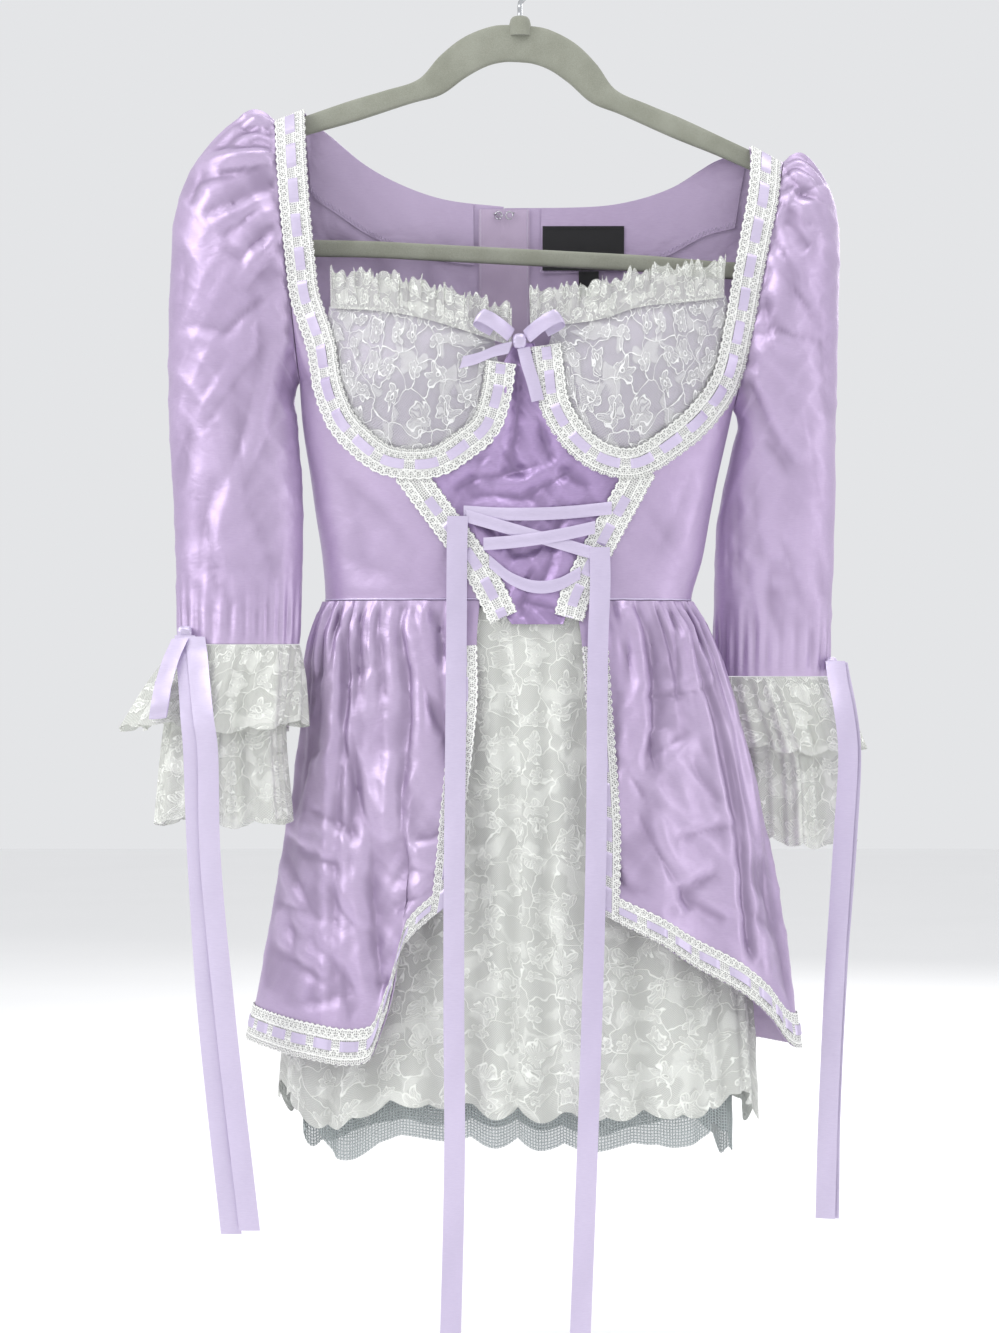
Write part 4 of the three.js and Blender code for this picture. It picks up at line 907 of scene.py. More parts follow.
def join_seam(piece, outwards=False):
    """Joins points that lie on each other, and turns a closed form's faces outwards."""
    only(piece)
    bpy.ops.object.mode_set(mode="EDIT")
    bpy.ops.mesh.select_all(action="SELECT")
    bpy.ops.mesh.remove_doubles(threshold=1e-6)
    if outwards:
        bpy.ops.mesh.normals_make_consistent(inside=False)
    bpy.ops.object.mode_set(mode="OBJECT")


def dress_up(piece, finish, nodes=()):
    """Gives a piece its finish and its body, and hides the solids that it stands for."""
    piece.data.materials.clear()
    piece.data.materials.append(FINISHES[finish])
    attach(piece, "garment")
    if nodes:
        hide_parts(*nodes)
    return piece


def grid_piece(name, points, closed=False, fold=None):
    """A sheet of quads with a place for each of its points, and a map in metres of cloth."""
    if closed:
        points = np.concatenate([points, points[:, :1]], axis=1)
        if fold is not None:
            fold = np.concatenate([fold, fold[:, :1]], axis=1)
    rows, columns = points.shape[:2]
    bpy.ops.object.select_all(action="DESELECT")
    bpy.ops.mesh.primitive_grid_add(x_subdivisions=columns - 1, y_subdivisions=rows - 1, size=2)
    piece = bpy.context.object
    piece.name = piece.data.name = name
    mesh = piece.data
    flat = rows_of(mesh.vertices, "co")
    column = np.rint((flat[:, 0] + 1) / 2 * (columns - 1)).astype(int)
    row = np.rint((1 - flat[:, 1]) / 2 * (rows - 1)).astype(int)
    mesh.vertices.foreach_set("co", (points[row, column] * MM).ravel())
    # The fold heights are kept as the "fold" attribute, which the finishes read to paint shade into the
    # fold troughs.
    if fold is not None:
        fold_shade_marks = mesh.attributes.new("fold", "FLOAT", "POINT")
        fold_shade_marks.data.foreach_set("value", np.tanh(fold[row, column] / FOLD_SHADE_SCALE))

    across = np.linalg.norm(np.diff(points, axis=1), axis=-1)
    down = np.linalg.norm(np.diff(points, axis=0), axis=-1)
    u = np.concatenate([[0], np.cumsum(across.mean(axis=0))]) * MM
    v = np.concatenate([[0], np.cumsum(down.mean(axis=1))]) * MM
    corner = np.empty(len(mesh.loops), int)
    mesh.loops.foreach_get("vertex_index", corner)
    uv = np.stack([u[column[corner]], v[row[corner]]], -1)
    mesh.uv_layers.active.data.foreach_set("uv", uv.ravel())
    mesh.update()
    return piece


def cloth(name, points, normals, finish, nodes=(), wall=SATIN_WALL, closed=False, crease=None):
    """A thin shell of cloth whose outer face is the sheet of points."""
    if crease is not None:
        crease = np.broadcast_to(crease, points.shape[:2])
        points = points + normals * crease[..., None]
    piece = grid_piece(name, points, closed, crease)
    mesh = piece.data
    middle = (points.shape[0] // 2, points.shape[1] // 2)
    away = np.linalg.norm(rows_of(mesh.polygons, "center") - points[middle] * MM, axis=1)
    near = np.argsort(away)[:4]
    if np.sum(rows_of(mesh.polygons, "normal")[near] @ normals[middle]) < 0:
        mesh.flip_normals()
    if closed:
        join_seam(piece)
    shell = piece.modifiers.new("wall", "SOLIDIFY")
    shell.thickness = wall * MM
    shell.offset = -1
    only(piece)
    bpy.ops.object.modifier_apply(modifier=shell.name)
    bpy.ops.object.shade_smooth_by_angle(angle=math.radians(50))
    return dress_up(piece, finish, nodes)


def declare(points, closed=False):
    """Only copies a closed sheet's first column onto its end; nothing is kept or passed on."""
    if closed:
        points = np.concatenate([points, points[:, :1]], axis=1)


def spread(count, start=0.0, end=1.0):
    return np.linspace(start, end, count + 1)


def table_at(rows, z):
    """Every column of a table at each z."""
    return {name: curve(rows["z"], values)(z) for name, values in rows.items() if name != "z"}


def side_front(side):
    """The side front panel, from the neck trim and the panel's edge out to the side seam."""
    s = SIDES[side]
    inner = curve(FRONT_INNER[side]["z"], FRONT_INNER[side]["x"])
    z_rows = np.concatenate([
        np.linspace(s["topZ"], s["underZ"] + 6, 60),
        np.linspace(s["underZ"] + 4, s["underZ"] - 4, 8),
        np.linspace(s["underZ"] - 6, WAIST_Z, 56),
    ])
    across = np.sin(spread(40) * math.pi / 2)
    u, z = np.meshgrid(across, z_rows)
    x = lerp(inner(z), outer_x(side, z), u)
    points = front_side_point(side, x, z + shoulder_rise(side, x, z))
    normals = mesh_normals(points, TO_FRONT)
    edge = ramp(1 - u, 0.2) * ramp(u, 0.08)
    crease = edge * (pressed_folds(points, normals, FRONT_CREASES) + crumple(points, 34, 0.35))
    piece = cloth(f"front_side_satin_{side}", points, normals, "satin",
                  [f"front_side_{side}"], crease=crease)
    declare(points)


def front_panel():
    """The narrow panel under the lacing, which comes to a point below the waist."""
    rows = STOMACHER
    z_rows = np.concatenate([np.linspace(-292, -380, 60), np.linspace(-381, -490, 74)])
    u, z = np.meshgrid(spread(70), z_rows)
    x = lerp(curve(rows["z"], rows["left"])(z), curve(rows["z"], rows["right"])(z), u)
    points = front_point(x, z)
    normals = mesh_normals(points, TO_FRONT)
    edge = ramp(u, 0.06) * ramp(1 - u, 0.06)
    crease = edge * (1.2 * pressed_folds(points, normals, PANEL_CREASES)
                     + crumple(points, 17, 1.1) + crumple(points, 8, 0.35, 2))
    piece = cloth("front_panel_satin", points, normals, "panel", ["front_panel"], crease=crease)
    declare(points)


def cup(side):
    """A satin cup, and the flowered lace stretched over it."""
    s = SIDES[side]
    top = flat_line(CUP_TOP[side])
    under = Line(np.stack([NECK_TRIM[side]["x"], NECK_TRIM[side]["z"]], -1)[STRAP_POINTS:])
    u, v = np.meshgrid(spread(60), spread(36))
    flat = lerp(top.at(u), under.at(u), v[..., None])
    middle = np.array([s["cupX"], s["cupZ"]])
    flat = (flat - middle) * CUP_SCALE + middle
    points = front_side_point(side, flat[..., 0], flat[..., 1])
    normals = mesh_normals(points, TO_FRONT)
    ripple = 0.25 * np.sin(u * 41 + 3 * v) * np.sin(v * 9 + 5 * u)
    over = cloth(f"cup_overlay_{side}", points, normals, "cup_lace", [f"cup_lace_{side}"],
                 wall=LACE_WALL, crease=ripple)
    under_points = points - normals * 1.6
    crease = crumple(points, 26, 0.3)
    satin_cup = cloth(f"cup_satin_{side}", under_points, normals, "cup", [f"cup_{side}"],
                      crease=crease)
    declare(points)
    declare(under_points)


def band_points(line, side, u, v):
    """Points on the bodice front, at a line's share of length and a distance beside it."""
    here, along = line.at(u), line.tangent(u)
    x = here[..., 0] - along[..., 1] * v
    section = here[..., 1] + along[..., 0] * v
    return front_point(x, section + shoulder_rise(side, x, section))


def scallops(u, v, length):
    """How far out each edge of a strip's width goes, in even scallops."""
    half = TRIM_WIDTH / 2
    wave = np.abs(np.sin(math.pi * u * length / SCALLOP_PITCH))
    return v * (1 + SCALLOP_REACH / half * (wave - 0.5) * (np.abs(v) >= half * 0.99))


def threaded(u, length):
    """The lift of a ribbon that goes over and under a band in turn."""
    wave = np.sin(2 * math.pi * u * length / THREADING_PITCH)
    return 0.75 * np.clip(wave * 3 + 1.3, -1, 1)


def trim(name, side, rows, node, tucked=False):
    """Narrow lace with a ribbon through its middle, sewn along an edge of the bodice."""
    spots = np.stack([rows["x"], rows["z"]], -1).astype(float)
    if tucked:
        spots = np.concatenate([[1.62 * spots[0] - 0.62 * spots[1]], spots])
    line = Line(spots)
    steps = int(line.length / 1.25)
    half = TRIM_WIDTH / 2
    u, v = np.meshgrid(spread(steps), np.array([-1, -0.72, -0.36, 0, 0.36, 0.72, 1]) * half)
    v = scallops(u, v, line.length)
    points = band_points(line, side, u, v)
    normals = mesh_normals(points, TO_FRONT)
    crimp = 0.28 * np.sin(u * line.length / 2.3) * (np.abs(v) / half) ** 2
    rise = np.clip(u * line.length / 9 - 1.5, 0, 1) if tucked else np.ones(u.shape)
    band_sheet = points + normals * lerp(0.6, TRIM_LIFT, rise)[..., None]
    band = cloth(f"{name}_lace_{side}", band_sheet, normals, "edging", [node],
                 wall=LACE_WALL, crease=crimp)
    u, v = np.meshgrid(spread(steps, 0.2 if tucked else 0.004, 0.996), THREADED_RIBBON)
    inner = band_points(line, side, u, v)
    normals = mesh_normals(inner, TO_FRONT)
    lift = TRIM_LIFT + 0.25 + threaded(u, line.length) - 0.1 * (v / THREADED_RIBBON[-1]) ** 2
    ribbon = cloth(f"{name}_ribbon_{side}", inner + normals * lift[..., None], normals, "ribbon",
                   wall=0.25)
    declare(band_sheet)


def cup_frill(side):
    """A gathered lace ruffle that stands on the cup's top edge."""
    s = SIDES[side]
    top = flat_line(CUP_TOP[side])
    reach = (0.02, 1.09) if side == "left" else (0.02, 1.12)
    u, v = np.meshgrid(spread(360), spread(13))
    base = top.at(lerp(reach[0], reach[1], u))
    foot = front_side_point(side, base[..., 0], base[..., 1] - 3)
    turn = 2 * math.pi * 8 * u
    small = np.sin(2 * math.pi * 31 * u + 2.2 * np.sin(2 * math.pi * 5 * u))
    curl = np.sin(2 * math.pi * 17 * u + 1.3 * np.sin(2 * math.pi * 3 * u))
    points = foot.copy()
    points[..., 0] += s["sign"] * 2 * v * np.sin(turn) + 1.1 * v * curl
    points[..., 1] -= 1.6 + v * (2.5 + 2.6 * (1 + np.cos(turn))) + 0.9 * small * v + 1.3 * curl * v ** 2
    points[..., 2] += 26 * v + v ** 3 * (1.8 * small + 2.2 * np.sin(2 * math.pi * 6.3 * u + 1))
    normals = mesh_normals(points, TO_FRONT)
    piece = cloth(f"cup_ruffle_{side}", points, normals, "frill", [f"cup_frill_{side}"], wall=0.3)
    declare(points)


def back(side):
    """Half of the back, with the facing sewn inside its neckline."""
    s = SIDES[side]
    rows = BACK_NECK[side]
    neck = curve(np.array(rows["x"]) * s["sign"], rows["z"])
    shoulder_x = rows["x"][-1]
    seam_x = BACK_SEAM_X + s["sign"] * 0.2
    under = (s["topZ"] - s["underZ"]) / (s["topZ"] - WAIST_Z)
    v_rows = np.unique(np.concatenate([spread(8, 0, 0.025), spread(64, 0.025, 1),
                                       [under - 0.012, under - 0.004, under + 0.004]]))
    columns = np.unique(np.concatenate([spread(56), [0.665, 0.685, 0.705]]))
    u, v = np.meshgrid(columns, v_rows)
    across = np.sin(u * math.pi / 2)
    top_edge = lerp(seam_x, s["topX"], across)
    edge_z = neck(top_edge * s["sign"])
    on_shoulder = (top_edge - shoulder_x) * s["sign"] > 0
    rise = shoulder_rise(side, top_edge, edge_z)
    start = np.where(on_shoulder, s["topZ"], np.minimum(edge_z - rise, s["topZ"]))
    z = lerp(start, WAIST_Z, v)
    x = lerp(seam_x, outer_x(side, z), across)
    points = back_point(side, x, z + shoulder_rise(side, x, z))
    normals = mesh_normals(points, TO_BACK)
    edge = ramp(1 - u, 0.15) * ramp(u, 0.05) * ramp(v, 0.05)
    crease = edge * (pressed_folds(points, normals, BACK_CREASES, 1) + crumple(points, 36, 0.4, 2))
    piece = cloth(f"back_satin_{side}", points, normals, "satin", [f"back_{side}"], crease=crease)
    declare(points)

    facing_rows = v_rows <= FACING_DEPTH / (rows["z"][0] - WAIST_Z)
    facing_columns = (columns >= 0.078) & (columns <= 0.685)
    part = np.ix_(facing_rows, facing_columns)
    inner = (points - normals * 2.0)[part]
    facing = cloth(f"neck_facing_satin_{side}", inner, normals[part], "satin",
                   [f"neck_facing_{side}"], wall=0.5, crease=crumple(inner, 22, 0.25, 1))
    stitches = zigzag(f"facing_stitches_{side}", inner[-1] - normals[part][-1] * 0.75,
                      inner[-4] - normals[part][-4] * 0.75)
    declare(inner)


def thread_curve(name, points, radius, finish="stitch"):
    """A round thread or wire along points, as a mesh."""
    data = bpy.data.curves.new(name, "CURVE")
    data.dimensions = "3D"
    data.bevel_depth = radius * MM
    data.bevel_resolution = 1
    spline = data.splines.new("POLY")
    spline.points.add(len(points) - 1)
    spots = np.concatenate([np.asarray(points) * MM, np.ones((len(points), 1))], axis=1)
    spline.points.foreach_set("co", spots.ravel())
    data.use_fill_caps = True
    piece = bpy.data.objects.new(name, data)
    bpy.context.collection.objects.link(piece)
    only(piece)
    bpy.ops.object.convert(target="MESH")
    piece = bpy.context.object
    bpy.ops.object.shade_smooth_by_angle(angle=math.radians(60))
    return dress_up(piece, finish)


def zigzag(name, low, high):
    """Zigzag stitches between two lines of points."""
    near, far = Line(low), Line(high)
    count = int(near.length / STITCH) * 2
    share = spread(count)
    reach = STITCH / max(np.linalg.norm(far.at(0.5) - near.at(0.5)), 1)
    swing = (np.arange(count + 1) % 2)[:, None] * reach + 0.08
    return thread_curve(name, lerp(near.at(share), far.at(share), swing), 0.22)


def sleeve(side):
    """A long sleeve with a puffed, gathered head, open at both ends."""
    rings = SLEEVE[side]
    index = np.arange(10)
    rows = np.concatenate([spread(42, 0, 4), spread(72, 4, 9)[1:]])
    u, r = np.meshgrid(spread(140)[:-1], rows)
    value = {key: curve(index, rings[key])(r) for key in rings}
    angle = 2 * math.pi * u
    top = (1 + np.cos(angle)) / 2
    gather = curve(index, SLEEVE_GATHER_DEPTH)(r) * np.sqrt(top)
    uneven = np.sin(angle * 5 + 1.1) * 0.35
    gather = gather * np.cos(angle * SLEEVE_GATHERS + uneven)
    middle = np.stack([(value["topX"] + value["underX"]) / 2, value["y"],
                       (value["topZ"] + value["underZ"]) / 2], -1)
    outwards = np.stack([np.cos(angle) * (value["topX"] - value["underX"]) / 2,
                         -np.sin(angle) * value["depth"],
                         np.cos(angle) * (value["topZ"] - value["underZ"]) / 2], -1)
    away = np.linalg.norm(outwards, axis=-1)
    points = middle + outwards * (1 + gather / away)[..., None]
    outward = np.zeros(points.shape)
    outward[..., 1] = -np.sin(angle)
    normals = mesh_normals(points, outward, closed=True)
    near_seam = np.exp(-((r - 0.9) / 1.1) ** 2) * ramp(r, 0.35) * np.sqrt(top)
    pleats = 1.5 * np.sin(angle * 21 + 2.5 * np.sin(angle * 3) + 0.6 * r) * near_seam
    table = SLEEVE_CREASES[side]
    hem = ramp(9 - r, 0.35) * ramp(r, 0.3)
    pucker = 0.9 * np.sin(angle * 26 + 2 * np.sin(angle * 3)) * np.exp(-((r - 8.85) / 0.22) ** 2)
    pleats = pleats + pucker * ramp(9 - r, 0.06)
    arm = lerp(1.0, 0.5, ramp(r - 3.5, 2))
    crease = hem * (arm * pressed_folds(points, normals, table, -1, 1)
                    + arm * pressed_folds(points, normals, SLEEVE_BACK_CREASES[side], 1, 1)
                    + crumple(points, 24, 0.7, 3)) + pleats
    piece = cloth(f"sleeve_satin_{side}", points, normals, "satin", [f"sleeve_{side}"],
                  closed=True, crease=crease)
    declare(points, closed=True)


def cuff_tier(side, tier):
    """One of the two gathered lace tiers at the end of a sleeve."""
    rings = CUFFS[side][tier]
    waves = CUFF_WAVES[tier]
    top_z, hem_z = rings["z"][0], rings["z"][-1]
    u, v = np.meshgrid(spread(210)[:-1], spread(36))
    z = lerp(top_z, hem_z, v)
    value = table_at(rings, z)
    angle = 2 * math.pi * u
    ripple = value["wave"] * np.cos(angle * waves + 0.5 * np.sin(angle * 3))
    fine = (0.5 + 1.1 * v) * np.sin(angle * waves * 3.5 + 1.5 * np.sin(angle * 4)) * ramp(v, 0.05)
    points = np.stack([
        value["x"] + (value["width"] + ripple + fine) * np.sin(angle),
        value["y"] - (value["depth"] + ripple + fine) * np.cos(angle),
        z - scallop_drop(u, v, 13 if tier == "upper" else 11, 4.5)
        - 3.0 * v ** 2 * np.sin(angle * 3 + 1),
    ], -1)
    outward = np.stack([np.sin(angle), -np.cos(angle), 0 * angle], -1)
    normals = mesh_normals(points, outward, closed=True)
    piece = cloth(f"cuff_lace_{tier}_{side}", points, normals, "cuff", [f"cuff_{tier}_{side}"],
                  wall=LACE_WALL, closed=True)
    declare(points, closed=True)


def scallop_drop(u, v, count, drop):
    """Scallops along a hem, which fade out above it."""
    return drop * (np.abs(np.sin(math.pi * count * u)) ** 0.7 - 0.6) * ramp(v - 0.8, 0.2)


def signed_power(value, power):
    return np.sign(value) * np.abs(value) ** power


def skirt_section(rows):
    """Points on a skirt by angle and height, grown or shrunk evenly."""
    values = {key: curve(rows["z"], rows[key])
              for key in ("x", "width", "front", "back", "roundness")}

    def at(angle, z, grow):
        power = 2 / values["roundness"](z)
        depth = np.where(np.cos(angle) > 0, values["front"](z), values["back"](z))
        return np.stack([
            values["x"](z) + (values["width"](z) + grow) * signed_power(np.sin(angle), power),
            -(depth + grow) * signed_power(np.cos(angle), power),
            z,
        ], -1)

    return at


def from_middle(points):
    outward = points.copy()
    outward[..., 2] = 0
    return outward


def overskirt_point(side):
    """Points on one half of the overskirt, from its front edge to its back, and down to its hem."""
    sign = SIDES[side]["sign"]
    section = skirt_section(OVERSKIRT)
    hem = OVERSKIRT_HEM[side]
    hem_angle, hem_z = curve(hem["at"], hem["angle"]), curve(hem["at"], hem["z"])
    back_gap = math.degrees(0.2 / 90)

    def at(u, v):
        hem_degrees = np.minimum(hem_angle(u), 180 - back_gap)
        top_degrees = lerp(OVERSKIRT_TOP_ANGLE[side], 180 - 2 * back_gap, u)
        angle = np.radians(lerp(top_degrees, hem_degrees, v)) * sign
        z = lerp(WAIST_Z - 0.4, hem_z(u), v)
        from_edge = ramp(u, 0.12) * ramp(1 - u, 0.04)
        at_side = 0.35 + 0.65 * np.cos(angle) ** 2
        uneven = 0.25 * np.sin(2 * math.pi * 3 * u + 0.7)
        gathers = GATHER_DEPTH * (1 - v) * (1 - np.cos(2 * math.pi * OVERSKIRT_GATHERS * u + uneven))
        folds = FOLD_DEPTH * v * at_side * (1 - np.cos(2 * math.pi * OVERSKIRT_FOLDS * u))
        return section(angle, z, from_edge * (gathers + folds) / 2)

    return at


def overskirt(side):
    """One half of the open satin overskirt, gathered at the waist, with its lace edges."""
    at = overskirt_point(side)
    u, v = np.meshgrid(spread(205), spread(96))
    points = at(u, v)
    normals = mesh_normals(points, from_middle(points))
    inside = ramp(u, 0.05) * ramp(1 - u, 0.03)
    below = ramp(v, 0.03) * np.clip((HEM_TRIM_ROW - v) / 0.05, 0.08, 1)
    fine = np.exp(-v / 0.10) * np.sin(2 * math.pi * 43 * u + 3 * np.sin(2 * math.pi * 4 * u))
    sway = 2.2 * np.sin(2 * math.pi * 3 * u + 1) + 1.1 * np.sin(4 * v + 9 * u)
    runs = 1.9 * np.exp(-v / 0.2) * np.sin(2 * math.pi * 21 * u + sway)
    patchy = 0.25 + 0.75 * np.sin(2 * math.pi * 2.3 * u + 0.5) ** 2
    runs += 1.7 * patchy * np.exp(-v / 0.8) * np.sin(2 * math.pi * 7 * u + 2.4 * sway)
    crease = inside * below * (
        pressed_folds(points, normals, OVERSKIRT_CREASES[side], -1, 1)
        + pressed_folds(points, normals, OVERSKIRT_BACK_CREASES[side], 1, 1)
        + crumple(points, 36, 0.9, 4) + crumple(points, 19, 0.35, 1) + fine + runs)
    piece = cloth(f"overskirt_satin_{side}", points, normals, "satin", [f"overskirt_{side}"],
                  crease=crease)
    declare(points)
    skirt_trim(side, at, "edge", points)
    skirt_trim(side, at, "hem", points)


def skirt_trim(side, at, where, skirt):
    """Narrow lace with a ribbon along the overskirt's front edge or hem."""
    if where == "edge":
        length = np.linalg.norm(np.diff(skirt[:, 0], axis=0), axis=-1).sum() * 0.85
        along, across = spread(int(length / 1.4), 0.15, 1), spread(6, 0, EDGE_TRIM_SHARE)
        v, u = np.meshgrid(along, across)
    else:
        length = np.linalg.norm(np.diff(skirt[-1], axis=0), axis=-1).sum()
        along, across = spread(int(length / 1.6), EDGE_TRIM_SHARE, 1), spread(6, HEM_TRIM_ROW, 1)
        u, v = np.meshgrid(along, across)
    points = at(u, v)
    normals = mesh_normals(points, from_middle(points))
    width = np.linalg.norm(points[-1] - points[0], axis=-1).mean()
    run = np.linspace(0, length, points.shape[1])
    wave = np.abs(np.sin(math.pi * run / SCALLOP_PITCH)) - 0.4
    out_way = points[-1] - points[-2]
    out_way /= np.linalg.norm(out_way, axis=-1, keepdims=True)
    points[-1] += out_way * (1.6 * wave)[:, None]
    points[0] -= out_way * (1.4 * wave)[:, None]
    band_sheet = points + normals * 1.3
    share = np.linspace(-1, 1, 7)[:, None] ** 2
    crimp = 0.3 * np.sin(run / 2.3)[None, :] * share
    band = cloth(f"overskirt_{where}_lace_{side}", band_sheet, normals, "edging",
                 [f"{where}_trim_{side}"], wall=LACE_WALL, crease=crimp)
    middle = 0.5 + np.array(THREADED_RIBBON) / width
    first, last = points[1], points[-2]
    inner = lerp(first[None], last[None], (middle * 1.5 - 0.25)[:, None, None])
    bulge = points[3] - lerp(first, last, 0.5)
    inner = inner + bulge[None]
    normals = mesh_normals(inner, from_middle(inner))
    lift = 1.55 + threaded(run / length, length)[None, :] + 0 * middle[:, None]
    ribbon = cloth(f"overskirt_{where}_ribbon_{side}", inner + normals * lift[..., None], normals,
                   "ribbon", wall=0.25)
    declare(band_sheet)


def skirt_layer(name, finish, columns, rows, wall, scallop=0.0, scallop_count=0, fine=0.0):
    """One layer that hangs under the overskirt."""
    top, hem, hem_wave, inward, shrink, folds, wave = LAYERS[name]
    section = skirt_section(INNER_SKIRT)
    u, v = np.meshgrid(spread(columns)[:-1], spread(rows))
    angle = 2 * math.pi * u
    z = lerp(top, hem + hem_wave * np.cos(angle * 5 + 1), v)
    down = (top - z) / (top - hem)
    bunched = angle * folds + 0.8 * np.sin(angle * 3 + 1)
    ripple = wave * down * (np.cos(bunched) - 1) / 2
    uneven = fine * np.clip(down, 0, 1) * np.sin(angle * folds * 2.5 + 2 * np.sin(angle * 5))
    points = section(angle, z, ripple - inward - shrink * down + uneven - abs(fine))
    points[..., 2] -= scallop_drop(u, v, scallop_count, scallop)
    low = ramp(v - 0.6, 0.4)
    points[..., 2] -= scallop * low * np.sin(angle * 7 + 2)
    points[..., 2] -= 1.3 * scallop * low ** 2 * (np.abs(np.sin(angle * 9 + 1.5 * np.sin(angle * 4))) - 0.6)
    normals = mesh_normals(points, from_middle(points), closed=True)
    drape = 1.5 * fine * np.sin(angle * 31 + 2.2 * np.sin(angle * 5) + 0.7 * np.sin(4 * v))
    drape = (drape + crumple(points, 30, 0.6, 5)) * ramp(v, 0.1)
    piece = cloth(f"{name}_cloth", points, normals, finish, [name], wall=wall, closed=True,
                  crease=drape)
    declare(points, closed=True)


def ribbon_piece(name, route, across, node, steps, width=RIBBON_WIDTH, curl=0.5):
    """A flat ribbon along a route, with the line and the points that it follows."""
    line = Line(route)
    wide = np.array(across, float) / np.linalg.norm(across)
    u, v = np.meshgrid(spread(steps), np.linspace(-0.5, 0.5, 9))
    middle = line.at(u)
    way = line.tangent(u)
    normals = np.cross(way, wide)
    normals /= np.linalg.norm(normals, axis=-1, keepdims=True)
    if normals[..., 1].mean() > 0:
        normals = -normals
    bend = curl * (1 - (2 * v) ** 2)
    points = middle + wide * (width * v)[..., None] + normals * (bend - curl / 2)[..., None]
    crease = 0.22 * np.sin(u * line.length / 13 + 3 * v) * np.sin(u * line.length / 47)
    piece = cloth(name, points, normals, "ribbon", [node], wall=RIBBON_WALL, crease=crease)
    return piece, line, points


def free_ribbon(name, route, across, node, steps):
    """A ribbon whose far end hangs free."""
    piece, line, _ = ribbon_piece(name, route, across, node, steps)
    path = line.at(spread(steps))


def sewn_ribbon(name, route, across, node, steps, width, curl):
    """A ribbon that is held at both ends, or a short tail of a bow."""
    piece, _, points = ribbon_piece(name, route, across, node, steps, width, curl)
    declare(points.transpose(1, 0, 2))


def wound_knot(name, centre, size, node, turn):
    """A knot of ribbon: a rounded block with wound turns across it."""
    bpy.ops.object.select_all(action="DESELECT")
    bpy.ops.mesh.primitive_uv_sphere_add(segments=40, ring_count=24, radius=1)
    piece = bpy.context.object
    piece.name = piece.data.name = name
    mesh = piece.data
    p = rows_of(mesh.vertices, "co")
    lean = p[:, 0] * math.cos(turn) + p[:, 2] * math.sin(turn)
    side = -p[:, 0] * math.sin(turn) + p[:, 2] * math.cos(turn)
    groove = 1 - 0.10 * np.exp(-((lean * 2.2) % 1.0 - 0.5) ** 2 / 0.02) * (1 - side ** 2)
    square = 1 / np.maximum(np.sum(np.abs(p) ** 3, axis=1) ** (1 / 3), 1e-6)
    p = p * (square * groove)[:, None] * 0.97
    p = p * (np.array(size) / 2) + np.array(centre)
    mesh.vertices.foreach_set("co", (p * MM).ravel())
    mesh.update()
    only(piece)
    bpy.ops.object.shade_smooth()
    return dress_up(piece, "ribbon", [node])


def stitched_tag(name, x1, x2, z1, z2, node):
    """A woven label with a stitch line along its top; its ends, folded under on the real label, are left
    flat here.
    """
    u, v = np.meshgrid(spread(40), spread(20))
    x, z = lerp(x1, x2, u), lerp(z1, z2, v)
    points = back_point("right", x, z)
    normals = mesh_normals(points, TO_BACK)
    inner = points - normals * 3.35
    piece = cloth(name, inner, normals, "label", [node], wall=0.6,
                  crease=0.25 * np.sin(u * 5 + 1) * v)
    face = inner - normals * 0.95
    line = lerp(face[1, 1], face[1, -2], spread(60)[:, None])
    dashes = thread_curve(f"{name}_stitches", line, 0.16, "label")
    declare(inner)


def zip_guard():
    """The strip of cloth behind the zip, stitched along both edges."""
    u, z = np.meshgrid(spread(24), np.linspace(-187, WAIST_Z + 2, 120))
    x = BACK_SEAM_X + 37 * (u - 0.5)
    points = back_point("left", x, z)
    points = np.where((x < BACK_SEAM_X)[..., None], points, back_point("right", x, z))
    normals = mesh_normals(points, TO_BACK)
    inner = points - normals * 2.3
    piece = cloth("zip_guard_tape", inner, normals, "guard", ["zip_guard"], wall=0.7,
                  crease=0.3 * np.sin(z / 19) * (u - 0.5))
    for column in (1, -2):
        side = "left" if column == 1 else "right"
        thread_curve(f"guard_stitch_{side}",
                                  (inner - normals * 0.85)[:, column], 0.2)
    declare(inner)


def hanger_frame():
    """The flocked hanger: one rounded bar that runs round its open middle."""
    outer = [(0, -0.6)] + list(zip(HANGER_OUTER["x"], HANGER_OUTER["z"]))[1:] + [(90, -173), (0, -173)]
    inner = [(0, -27)] + list(zip(HANGER_INNER["x"], HANGER_INNER["z"])) + [(90, -161), (0, -161)]
    half_out, half_in = Line(outer), Line(inner)
    share = spread(150)
    rim = np.concatenate([half_out.at(share), half_out.at(share[-2:0:-1]) * [-1, 1]])
    hole = np.concatenate([half_in.at(share), half_in.at(share[-2:0:-1]) * [-1, 1]])
    middle, half = (rim + hole) / 2, (rim - hole) / 2
    turn = np.linspace(0, 2 * math.pi, 25)[:-1]
    wide = signed_power(np.cos(turn), HANGER_SQUARENESS)
    thick = signed_power(np.sin(turn), HANGER_SQUARENESS) * HANGER_HALF_THICKNESS
    flat = middle[None] + half[None] * wide[:, None, None]
    points = np.stack([flat[..., 0], np.broadcast_to(thick[:, None], flat.shape[:2]), flat[..., 1]], -1)
    tilt = math.radians(HANGER_TILT)
    x = points[..., 0] * math.cos(tilt) + points[..., 2] * math.sin(tilt)
    z = -points[..., 0] * math.sin(tilt) + points[..., 2] * math.cos(tilt) - HANGER_DROP
    points = np.stack([x, points[..., 1], z], -1)
    points = np.concatenate([points, points[:1]])
    piece = grid_piece("hanger_frame", points, closed=True)
    join_seam(piece, outwards=True)
    bpy.ops.object.shade_smooth()
    dress_up(piece, "velvet", ["hanger_body"])


